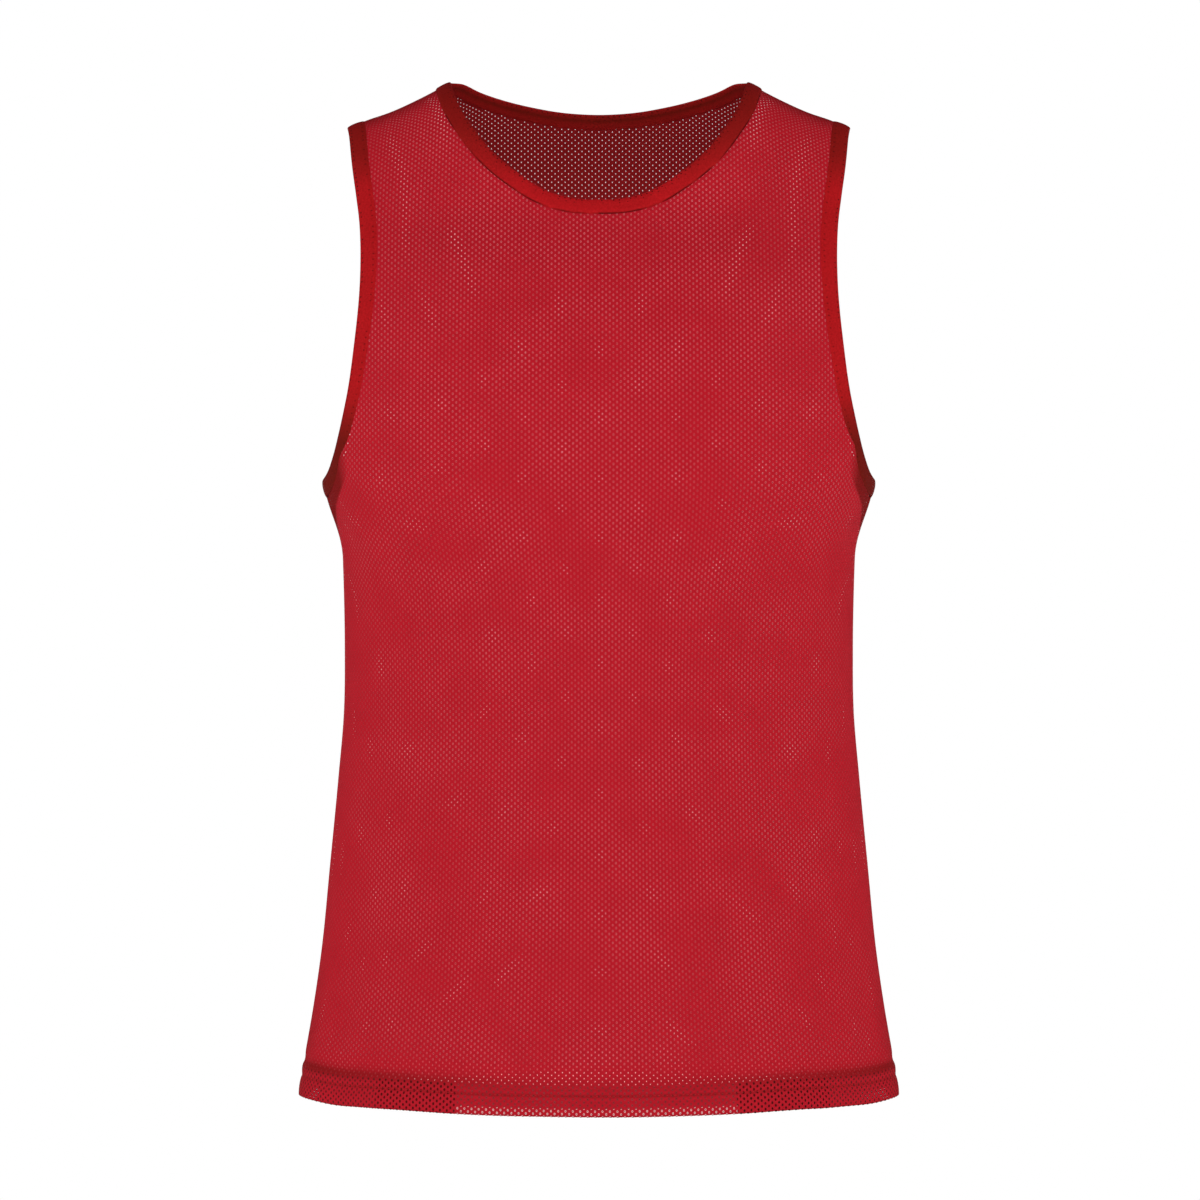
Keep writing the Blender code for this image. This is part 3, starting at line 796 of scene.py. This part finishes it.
def cloth_finish(name, sheen, dark_red, full_red):
    """A cloth's material with its knit and its uneven dye: also its tree, its flat places, its red so
    far, and where that red goes once the piece has changed it."""
    made, tree, inputs = new_finish(name, {
        "Roughness": 0.8, "Sheen Weight": sheen, "Sheen Roughness": 0.4, "Sheen Tint": SHEEN_RED,
        "Specular IOR Level": 0.05})
    flat = step(tree, "ShaderNodeUVMap", uv_map="flat").outputs[0]
    knit = step(tree, "ShaderNodeGroup", {"Place": flat, "Pitch": KNIT_PITCH},
                node_tree=FINE_KNIT).outputs
    bump = step(tree, "ShaderNodeBump", {
        "Distance": KNIT_RELIEF, "Height": knit["Relief"], "Strength": 0.6})
    tree.links.new(bump.outputs[0], inputs["Normal"])
    red = dyed(from_to(knit["Unevenness"], *DYE_FADE), dark_red, full_red)
    return made, tree, flat, red, inputs["Base Color"]


mesh_cloth, tree, flat, red, mesh_colour = cloth_finish("red_mesh", 0.15, MESH_DARK_RED, MESH_RED)
# Darker where something lies behind the mesh, plus painted shade on the shoulders' tops, at the hem and
# below the underarm.
red = dyed(kept_share(tree, "backing_and_shade"), red, BACKING_AND_SHADE_RED)
# Painted shade on the mesh's inner side, which lies in the shade of the hollow.
inner_side = step(tree, "ShaderNodeNewGeometry").outputs["Backfacing"]
red = dyed(inner_side, red, INNER_SIDE_SHADE_RED)
# Painted highlight on the holes' edges, for glints on the yarn round each hole and light through it, set
# in patches, and dimmer on the inner side as painted shade.
patch = step(tree, "ShaderNodeTexNoise", {"Vector": flat, "Scale": PATCHES, "Detail": 2.0})
patch = step(tree, "ShaderNodeMapRange", {
    0: patch, 1: PATCH_FADE[0], 2: PATCH_FADE[1], 3: PATCH_LEAST, 4: 1.0})
rim = kept_share(tree, "rim")
near_hole = from_to(rim, *PALE_EDGE)
glint = times(near_hole, times(patch, kept_share(tree, "hole_glint")))
red = dyed(glint, red, dyed(inner_side, HOLE_GLINT_RED, INNER_HOLE_GLINT_RED))
# Painted light on the holes' edges where light comes through both layers of the hem, and painted shade
# in the holes where its second layer lies behind them.
hem_hole_shade_and_light = kept_share(tree, "hem_hole_shade_and_light")
lit = times(near_hole, times(hem_hole_shade_and_light, -1.0))
red = dyed(lit, red, LIT_HOLE_EDGE_PINK)
red = dyed(times(from_to(rim, *DARK_EDGE), hem_hole_shade_and_light), red, HOLE_SHADE_RED)
tree.links.new(red, mesh_colour)


# Where something lies behind the mesh it reads darker: seam allowances, and the hem's second layer and
# its stitching. On top of that, shade is painted where the cloth turns from the light or lies in a
# trough: on the shoulders' tops, in the hem's stitch groove and the fold shadow above it, at the hem's
# corners by the side seams, and on the side below the underarm. The hem's rows are rise and share.
HEM_LAYERS_AND_SHADE = (
    (0.0, 0.35), (0.001, 0.12), (0.01, 0.1), (0.0134, 0.14), (0.0141, 0.42), (0.0149, 0.42),
    (0.0156, 0.14), (0.018, 0.14), (0.02, 0.6), (0.0235, 0.85), (0.0255, 0.45), (0.029, 0.1),
    (0.032, 0.0), (0.04, 0.0),
)
HEM_TOP_FROM = 0.0185
HEM_TOP_AT_CENTRE, HEM_TOP_FADES_OVER = 0.2, 0.21
CORNER_SHARE, CORNER_TOP, CORNER_FADES_OVER, CORNER_WIDTH = 0.45, 0.105, 0.06, 0.032
SHOULDER_SHARE, SHOULDER_FROM, SHOULDER_OVER, SHOULDER_POWER = 0.7, 0.048, 0.030, 1.3
SIDE_SEAM_SHARE, SIDE_SEAM_WIDTH = 0.55, 0.0045
# Painted shade on the side below the underarm, where the cloth turns away from the light: its edge's
# heights and how far across it is.
UNDERARM_SHADE_EDGE = (
    (-0.34, 0.18), (-0.325, 0.179), (-0.316, 0.1785), (-0.302, 0.179), (-0.294, 0.1787),
    (-0.286, 0.175), (-0.277, 0.1705), (-0.262, 0.1671), (-0.24, 0.163),
)
UNDERARM_SHADE_SHARE, UNDERARM_SHADE_TOP = 0.95, -0.235
UNDERARM_REACH, UNDERARM_FADES_OVER = 0.078, 0.016
UNDERARM_EDGE_SOFT, UNDERARM_EDGE_START = 0.0016, 0.3
# Where the painted shade in the hem's holes is darkest: side, out from, out to, and how dark.
DARK_HOLES = (
    (FRONT, -0.155, -0.096, 1.0), (FRONT, 0.092, 0.16, 1.0), (FRONT, -0.26, -0.155, 0.8),
    (FRONT, 0.16, 0.26, 0.8), (BACK, -0.12, -0.03, 0.9), (BACK, 0.08, 0.19, 1.0),
)
DARK_HOLES_LEAST = 0.55
PALE_ROWS_TO, PALE_ROWS_FROM_SIDES, PALE_ROWS_SHARE = 0.0062, (-0.096, 0.092), -0.8
DOUBLED_MARGIN = 0.0015
PALE_DOWN, PALE_SHARES = (0.06, 0.34), (1.15, 0.8)
PALE_AT_SIDE, PALE_GROWS_OVER = 0.2, 0.11


def backing_and_shade_share(points, down, to_side, run):
    """How much darker the mesh is made, from 0 to 1: where something lies behind it, and where shade is
    painted on it.
    """
    rise = np.abs(FOOT - down)
    # The hem: its second layer behind the mesh, plus painted shade in the stitch groove and the fold
    # shadow above it.
    hem = smooth(rise, *np.array(HEM_LAYERS_AND_SHADE).T)
    # The painted shade along the hem's top is weaker at the middle and full towards the side seams.
    near_side = np.clip(1 - to_side / HEM_TOP_FADES_OVER, 0, 1)
    at_top = hem * (HEM_TOP_AT_CENTRE + (1 - HEM_TOP_AT_CENTRE) * near_side)
    hem = np.where(rise > HEM_TOP_FROM, at_top, hem)
    # Painted shade at the hem's corners, by the side seams.
    corner = CORNER_SHARE * np.clip((CORNER_TOP - rise) / CORNER_FADES_OVER, 0, 1)
    corner *= np.clip(1 - to_side / CORNER_WIDTH, 0, 1)
    # The real seam allowance under the shoulder seam, widened into painted shade on the shoulders' tops,
    # which face up away from the light.
    near_shoulder = np.clip((SHOULDER_FROM - np.abs(run)) / SHOULDER_OVER, 0, 1)
    shoulder = SHOULDER_SHARE * near_shoulder**SHOULDER_POWER
    side_seam = SIDE_SEAM_SHARE * np.exp(-((to_side / SIDE_SEAM_WIDTH) ** 2))
    # Painted shade on the side below the underarm, out past its edge.
    heights, across = np.array(UNDERARM_SHADE_EDGE).T
    past_edge = np.abs(points[:, 0]) - np.interp(points[:, 2], heights, across)
    within = (points[:, 2] > heights[0]) & (points[:, 2] < UNDERARM_SHADE_TOP)
    within = within * np.clip((UNDERARM_REACH - to_side) / UNDERARM_FADES_OVER, 0, 1)
    edge = np.clip(past_edge / UNDERARM_EDGE_SOFT + UNDERARM_EDGE_START, 0, 1)
    underarm_shade = UNDERARM_SHADE_SHARE * within * edge
    return np.clip(np.maximum.reduce([hem, corner, shoulder, side_seam, underarm_shade]), 0, 1)


def hem_hole_shade_and_light_share(side, out, down):
    """How much shade is painted in the holes where the hem's second layer lies behind them, from 0 to 1,
    and below 0 how much light is painted on their edges where light comes through both layers."""
    share = np.full_like(out, DARK_HOLES_LEAST)
    for of_side, out_from, out_to, strength in DARK_HOLES:
        if of_side == side:
            share = np.where((out > out_from) & (out < out_to), strength, share)
    rise = FOOT - down
    left, right = PALE_ROWS_FROM_SIDES
    lit = (rise < PALE_ROWS_TO) & (out > left) & (out < right)
    return np.where(lit, PALE_ROWS_SHARE, share) * (np.abs(rise) < HEM_ALLOWANCE - DOUBLED_MARGIN)


def hole_glint_share(down, to_side, backing_and_shade):
    """How much painted highlight the holes' edges get, for the glints on the yarn round each hole and
    the light seen through it: most near the shoulders, and less at the sides."""
    near_side = np.clip(PALE_AT_SIDE + to_side / PALE_GROWS_OVER, 0, 1)
    return np.interp(down, PALE_DOWN, PALE_SHARES) * near_side * (1 - backing_and_shade)


FULL_HALF_WIDTH, FULL_TO = 0.104, 0.130
NARROWS_OVER = (0.030, 0.060)
BACK_HOLE_SHARE, NARROWEST = 0.85, 0.55
PULLED_ABOVE_HEM, PULLED_HOLE_SHARE = (0.0205, 0.0345), 0.55


def narrowed(side, flat, at_holes):
    """The flat places with the holes drawn closer: on the back below the neck, where the cloth isn't
    stretched open, and on the front just above the hem, where its fold pulls on the mesh."""
    wale = np.round(flat[:, 0] / WALE_PITCH)
    half = (wale % 2) * COURSE_PITCH / 2
    course = np.round((flat[:, 1] - half) / COURSE_PITCH)
    centres = np.stack([wale * WALE_PITCH, course * COURSE_PITCH + half, np.zeros(len(flat))], axis=-1)
    if side == BACK:
        past_side = (np.abs(centres[:, 0]) - FULL_HALF_WIDTH) / NARROWS_OVER[0]
        past_foot = (centres[:, 1] - FULL_TO) / NARROWS_OVER[1]
        past = np.clip(np.maximum(past_side, past_foot), 0, 1)
        share = BACK_HOLE_SHARE + (NARROWEST - BACK_HOLE_SHARE) * past
    else:
        rise = FOOT - centres[:, 1]
        pulled = (rise > PULLED_ABOVE_HEM[0]) & (rise < PULLED_ABOVE_HEM[1])
        share = np.where(pulled, PULLED_HOLE_SHARE, 1)
    return np.where(at_holes[:, None], centres + (flat - centres) * share[:, None], flat)


AT_HOLE = 0.99


def panel(side, name, node, lengths):
    """A panel in a few lengths, since one net of it all would be too fine for one piece."""
    outline = panel_outline(side)
    for part, start, end in lengths:
        first, last = (round(at / COURSE_PITCH) * COURSE_PITCH for at in (start, end))
        piece = knitted(f"{name}_{part}", outline, first, last)
        flat = flat_places(piece)
        rims = np.empty(len(flat))
        piece.data.attributes["rim"].data.foreach_get("value", rims)
        flat = narrowed(side, flat, rims > AT_HOLE)
        lay_out(piece, flat)
        hang(piece, flat)
        out, down = flat[:, 0], flat[:, 1]
        points, _, to_side, run = hung(side, out, down)
        backing_and_shade = backing_and_shade_share(points, down, to_side, run)
        keep_shares(piece.data, "backing_and_shade", backing_and_shade)
        keep_shares(piece.data, "hem_hole_shade_and_light", hem_hole_shade_and_light_share(side, out, down))
        keep_shares(piece.data, "hole_glint", hole_glint_share(down, to_side, backing_and_shade))
        hang(piece, points)
        if side == BACK:
            piece.data.flip_normals()
        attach(piece, "root")
        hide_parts(node)


panel(FRONT, "front_mesh", "front_panel", (("upper", -1, LENGTHS_MEET), ("lower", LENGTHS_MEET, 1)))


# Back. The same mesh, cut higher at the neck and scooped a little less at the armholes. It is less
# stretched below the neck, so its holes are smaller there.

BACK_LENGTHS = (("upper", -1, 0.338), ("middle", 0.338, 0.555), ("lower", 0.555, 1))

panel(BACK, "back_mesh", "back_panel", BACK_LENGTHS)


# Neck band. One strip of closely knitted cloth in the same red, folded double and sewn round the
# neck edge, its raw edges turned in. It is pinched at its seam and rolls round at its fold.

BAND_ROWS = 9
BAND_LINES = 12
NECK_BAND_STEPS = 400
CLOSER_AT_FOLD = 1.4
# How far the outer layer stands off the form, by the distance from the fold.
NECK_BAND_LIFT = (
    (0.0, 0.0), (0.0003, 0.0004), (0.0009, 0.0007), (0.0025, 0.001), (0.006, 0.0012),
    (0.0095, 0.0011), (0.0108, 0.0009), (0.0115, 0.0004),
)
# How dark the outer layer looks by its height, and the inner one by its way from the fold.
NECK_SHADE = ((-0.100, 0.0), (-0.078, 0.04), (-0.062, 0.28), (-0.042, 0.55), (0.0, 0.72), (0.03, 0.5))
INSIDE_SHADE = ((0.0, 0.25), (0.10, 0.45), (0.35, 0.65), (0.52, 0.9), (0.66, 0.65), (1.0, 0.45))
INSIDE_FROM, INSIDE_OVER = 0.2, 0.12
BACK_SHADE, BACK_SHADE_BEHIND, BACK_SHADE_ABOVE = 0.3, 0.012, -0.1
LANES = 8
LANE_LENGTH, LANE_WIDTH = 0.97, 0.92
BAND_SHADE_RED = (0.115, 0.0060, 0.0022, 1)
BAND_RED = (0.50, 0.0085, 0.0120, 1)
BAND_DARK_RED = (0.31, 0.0050, 0.0064, 1)
PINHOLE_RED = (0.05, 0.002, 0.002, 1)
SEAM_SHADE_RED = (0.09, 0.002, 0.002, 1)
SEAM_FADE, PULLS, PULL_FADE = (-0.0114, -0.0104), 55.0, (0.3, 0.6)
FAINT_HOLES_TO = 0.45
# Each row of needle holes: its distance from the fold, the pitch, a hole's size, and how dark.
NECK_NEEDLE_ROWS = ((0.0026, 0.0041, 0.00075, 1.0), (0.0050, 0.0057, 0.00060, 0.7))
ACROSS_MIRROR = np.array((-1, 1, 1))


def band_ground(edge_of, width, sign):
    """Points and normals of the form under a band at +X: along the opening from the front's lowest
    point over the shoulder to the back's, and across from the fold to the seam."""
    points, normals = [], []
    for side, order in ((FRONT, slice(None)), (BACK, slice(-2, None, -1))):
        edge = edge_of(side)
        lines = [moved(edge, d, sign * side)[1:-1] for d in np.linspace(0, width, BAND_ROWS)]
        pairs = np.stack(lines, axis=1)[order]
        points.append(body(pairs[..., 0], pairs[..., 1]))
        normals.append(slopes(pairs[..., 0], pairs[..., 1])[2])
    return np.concatenate(points), np.concatenate(normals)


def along_line(points):
    """How far along a line each of its points is."""
    return np.append(0, np.cumsum(np.linalg.norm(np.diff(points, axis=0), axis=1)))


def folded_band(name, ground, width, lifts, steps, band_cloth, shades):
    """A strip folded over an opening's edge, closed into a ring. Across it runs from the seam outside
    over the fold to the seam inside."""
    points, normals = ground
    along = along_line(points[:, BAND_ROWS // 2])
    at = np.linspace(0, along[-1], steps + 1)
    fold_share = np.linspace(-1, 1, 2 * BAND_LINES + 1)
    from_fold = width * np.abs(fold_share) ** CLOSER_AT_FOLD
    row_pitch = width / (BAND_ROWS - 1)
    out, into = [], []
    for table, result in ((points, out), (normals, into)):
        even = np.stack([[np.interp(at, along, table[:, j, k]) for k in range(3)]
                         for j in range(BAND_ROWS)])
        for d in from_fold:
            j = min(int(d / row_pitch), BAND_ROWS - 2)
            t = d / row_pitch - j
            result.append((even[j] * (1 - t) + even[j + 1] * t).T)
    out, into = np.stack(out, axis=1), np.stack(into, axis=1)
    lift = smooth(from_fold, *np.array(lifts).T) * np.where(fold_share < 0, 1, -1)
    surface = out + into * lift[None, :, None]
    vertices = surface[:-1].reshape(-1, 3)
    flat = np.stack(np.broadcast_arrays(at[:, None], (fold_share * width)[None]), axis=-1)
    columns = len(fold_share)
    faces, places = [], []
    for i in range(steps):
        here, after = i * columns, (i + 1) % steps * columns
        for j in range(columns - 1):
            faces.append((here + j, here + j + 1, after + j + 1, after + j))
            places += [flat[i, j], flat[i, j + 1], flat[i + 1, j + 1], flat[i + 1, j]]
    data = bpy.data.meshes.new(name)
    data.from_pydata(vertices.tolist(), [], faces)
    data.shade_smooth()
    data.materials.append(band_cloth)
    outside = np.interp(vertices[:, 2], *np.array(shades).T)
    behind = (vertices[:, 1] > BACK_SHADE_BEHIND) & (vertices[:, 2] > BACK_SHADE_ABOVE)
    outside = np.where(behind, BACK_SHADE, 1) * outside
    inside = np.tile(np.clip(fold_share / INSIDE_OVER + INSIDE_FROM, 0, 1), steps)
    inside_shade = np.tile(np.interp(fold_share, *np.array(INSIDE_SHADE).T), steps)
    keep_shares(data, "shade", outside * (1 - inside) + inside_shade * inside)
    # The strip's picture is kept in lanes, one above the other, so its small dots stay sharp.
    places = np.array(places)
    lane_length = at[-1] / LANES
    middles = places[:, 0].reshape(-1, 4).mean(axis=1)
    lane = np.repeat(np.minimum(middles // lane_length, LANES - 1), 4)
    in_lane = (places[:, 0] - lane * lane_length) / lane_length
    over_lane = (places[:, 1] / width + 1) / 2
    keep_layout(data, "flat", places)
    keep_layout(data, "OFBake", np.stack([
        in_lane * LANE_LENGTH + (1 - LANE_LENGTH) / 2,
        (lane + (1 - LANE_WIDTH) / 2 + LANE_WIDTH * over_lane) / LANES], axis=-1))
    piece = placed(name, data)
    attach(piece, "root")
    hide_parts(name.replace("_cloth", ""))


def pinholes(tree, flat, from_fold, pitch, size):
    """A row of small dark holes at a distance from the fold, some fainter than others."""
    xyz = parts_of(tree, flat)
    along = over(xyz["X"], pitch)
    x = times(minus(sum_of("FRACT", along), 0.5), pitch)
    y = minus(sum_of("ABSOLUTE", xyz["Y"]), from_fold)
    away = sum_of("SQRT", plus(times(x, x), times(y, y)))
    hole = minus(1.0, from_to(away, size * 0.5, size))
    chance = step(tree, "ShaderNodeTexWhiteNoise", {"W": sum_of("FLOOR", along)},
                  noise_dimensions="1D").outputs["Value"]
    return times(hole, from_to(chance, 0.0, FAINT_HOLES_TO))


def band_finish(name, needle_rows):
    """A band's close cloth with its rows of needle holes, as cloth_finish gives it."""
    made, tree, flat, red, colour = cloth_finish(name, 0.08, BAND_DARK_RED, BAND_RED)
    red = dyed(kept_share(tree, "shade"), red, BAND_SHADE_RED)
    dots = sum_of("MAXIMUM", *(
        times(pinholes(tree, flat, *row), share) for *row, share in needle_rows))
    return made, tree, flat, dyed(dots, red, PINHOLE_RED), colour


neck_cloth, tree, flat, red, neck_colour = band_finish("red_neck_band", NECK_NEEDLE_ROWS)
at_seam = minus(1.0, from_to(parts_of(tree, flat)["Y"], *SEAM_FADE))
pull = step(tree, "ShaderNodeTexNoise", {"Vector": flat, "Scale": PULLS})
at_seam = times(at_seam, from_to(pull, *PULL_FADE))
tree.links.new(dyed(at_seam, red, SEAM_SHADE_RED), neck_colour)

half = band_ground(neck_edge, NECK_BAND_WIDTH, 1)
whole = [np.concatenate([table, table[-2::-1] * ACROSS_MIRROR]) for table in half]
folded_band("neck_band_cloth", whole, NECK_BAND_WIDTH, NECK_BAND_LIFT, NECK_BAND_STEPS, neck_cloth,
            NECK_SHADE)


# Armhole bands. One strip each of the same close cloth, folded double like the neck band and closed
# at the underarm. They roll softly into the mesh, with needle holes along the fold and the seam.

ARMHOLE_BAND_LIFT = (
    (0.0, 0.0), (0.0003, 0.0004), (0.0009, 0.0007), (0.0025, 0.001), (0.007, 0.0011),
    (0.01, 0.0008), (0.0118, 0.0004), (0.0125, 0.0001),
)
ARMHOLE_SHADE = (
    (-0.3, 0.95), (-0.252, 0.9), (-0.238, 0.6), (-0.222, 0.12), (-0.205, 0.0), (-0.078, 0.0),
    (-0.064, 0.35), (-0.052, 0.58), (0.0, 0.62),
)
ARMHOLE_BAND_STEPS = 420
ARMHOLE_NEEDLE_ROWS = (
    (0.0012, 0.0036, 0.00075, 1.0), (0.0038, 0.0036, 0.00075, 1.0), (0.0108, 0.0042, 0.0007, 0.6),
)

arm_cloth, tree, flat, red, arm_colour = band_finish("red_armhole_band", ARMHOLE_NEEDLE_ROWS)
tree.links.new(red, arm_colour)

left = band_ground(armhole_edge, ARMHOLE_BAND_WIDTH, -1)
for hand, ground in (("left", [table[::-1] for table in left]),
                     ("right", [table * ACROSS_MIRROR for table in left])):
    folded_band(f"armhole_band_{hand}_cloth", ground, ARMHOLE_BAND_WIDTH, ARMHOLE_BAND_LIFT,
                ARMHOLE_BAND_STEPS, arm_cloth, ARMHOLE_SHADE)


# Side and shoulder seams. The panels are sewn together face to face, and the seam allowances are
# overlocked and pressed flat inside, so each seam has a narrow doubled strip behind it.

ALLOWANCE_LINES = (0.0064, 0.0042, 0.0021, 0.0002)
ALLOWANCE_BEHIND = 0.0007
ALLOWANCE_STEPS = 100
ABOVE_HEM = 0.001
SHOULDER_EASE = {FRONT: 1.9, BACK: 1.2}
UNDERARM_DOWN = TOP_LOSS - UNDERARM_HEIGHT


def allowance(name, lines, cloth):
    """A strip behind a seam. lines go across it, each as (side, out, down)."""
    places = [hung(*line)[:2] for line in lines]
    rows = np.stack([points - normals * ALLOWANCE_BEHIND for points, normals in places])
    count, length = rows.shape[:2]
    faces = [(i * length + j, i * length + j + 1, (i + 1) * length + j + 1, (i + 1) * length + j)
             for i in range(count - 1) for j in range(length - 1)]
    data = bpy.data.meshes.new(name)
    data.from_pydata(rows.reshape(-1, 3).tolist(), [], faces)
    if data.polygons[0].normal.dot(places[0][1][0]) < 0:
        data.flip_normals()
    data.shade_smooth()
    data.materials.append(cloth)
    piece = placed(name, data)
    along = along_line(rows[count // 2])
    across = np.append(0, np.cumsum(np.linalg.norm(np.diff(rows, axis=0), axis=-1).mean(axis=1)))
    lay_out(piece, np.stack(np.broadcast_arrays(along[None], across[:, None]), axis=-1).reshape(-1, 2))
    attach(piece, "root")


for sign, hand in ((1, "left"), (-1, "right")):
    downs = np.linspace(UNDERARM_DOWN + ARMHOLE_BAND_WIDTH / 2, FOOT - HEM_ALLOWANCE - ABOVE_HEM,
                        ALLOWANCE_STEPS)
    side_lines, shoulder_lines = [], []
    for side, order in ((FRONT, 1), (BACK, -1)):
        out, down = laid_flat(side, shoulder_seam()).T
        for d in ALLOWANCE_LINES[::order]:
            side_lines.append((side, sign * (seam_out(side, downs) - d), downs))
            shoulder_lines.append((side, sign * out, down + d * SHOULDER_EASE[side]))
    allowance(f"side_seam_{hand}", side_lines, arm_cloth)
    allowance(f"shoulder_seam_{hand}", shoulder_lines, arm_cloth)


# Hem stitching. One row of lockstitch holds the turned hem, all round both panels. Each stitch is a
# short length of red polyester thread, pulled a little into the mesh, and its ends dive into it.

STITCH_PITCH = 0.0027
STITCH_LENGTH = 0.0021
THREAD_THICKNESS = 0.0004
HEM_ROW_RISE = 0.0145
HEM_ROW_POINTS = 241
THREAD_STANDS = 0.00012
THREAD_RED = (0.26, 0.006, 0.010, 1)
THREAD_TWISTS, TWIST_FADE = 900.0, (0.35, 0.65)
STITCH_FACETS, STITCH_RINGS = 6, 4


def stitching():
    """The tree that lays one thread after another along a line."""
    tree, sizes = new_tree("stitching", "GeometryNodeTree", {
        "Line": "Geometry", "Pitch": "Float", "Length": "Float", "Thickness": "Float",
        "Thread": "Material"}, {"Stitches": "Geometry"})
    line = step(tree, "GeometryNodeMeshToCurve", {"Mesh": sizes["Line"]})
    count = over(step(tree, "GeometryNodeCurveLength", {0: line}), sizes["Pitch"])
    points = step(tree, "GeometryNodeCurveToPoints", {"Curve": line, "Count": count}, mode="COUNT")
    bead = step(tree, "GeometryNodeMeshUVSphere", {
        "Segments": STITCH_FACETS, "Rings": STITCH_RINGS, "Radius": 0.5})
    shape = step(tree, "ShaderNodeCombineXYZ", {
        "X": sizes["Thickness"], "Y": sizes["Thickness"], "Z": sizes["Length"]})
    stitch = step(tree, "GeometryNodeTransform", {"Geometry": bead, "Scale": shape})
    along = step(tree, "FunctionNodeAlignRotationToVector", {"Vector": points.outputs["Tangent"]},
                 axis="Z")
    row = step(tree, "GeometryNodeInstanceOnPoints", {
        "Points": points, "Instance": stitch, "Rotation": along})
    row = step(tree, "GeometryNodeRealizeInstances", {0: row})
    row = step(tree, "GeometryNodeSetShadeSmooth", {"Geometry": row})
    row = step(tree, "GeometryNodeSetMaterial", {"Geometry": row, "Material": sizes["Thread"]})
    step(tree, "NodeGroupOutput", {0: row})
    return tree


thread, tree, inputs = new_finish("red_thread", {"Roughness": 0.6, "Specular IOR Level": 0.2})
place = step(tree, "ShaderNodeTexCoord").outputs["Object"]
twist = step(tree, "ShaderNodeTexNoise", {"Vector": place, "Scale": THREAD_TWISTS})
tree.links.new(dyed(from_to(twist, *TWIST_FADE), THREAD_RED, BAND_RED), inputs["Base Color"])

STITCHING = stitching()
row_down = FOOT - HEM_ROW_RISE
for side, name in ((FRONT, "front_hem_stitches"), (BACK, "back_hem_stitches")):
    half_hem = seam_out(side, np.array([row_down]))[0] - SEAM_DIP_WIDTH
    out = np.linspace(-half_hem, half_hem, HEM_ROW_POINTS)
    points, normals, _, _ = hung(side, out, np.full_like(out, row_down))
    line = bpy.data.meshes.new(name)
    line.from_pydata((points + normals * THREAD_STANDS).tolist(),
                     [(i, i + 1) for i in range(HEM_ROW_POINTS - 1)], [])
    stitches = worked(name, line, STITCHING, {
        "Pitch": STITCH_PITCH, "Length": STITCH_LENGTH, "Thickness": THREAD_THICKNESS, "Thread": thread})
    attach(stitches, "root")
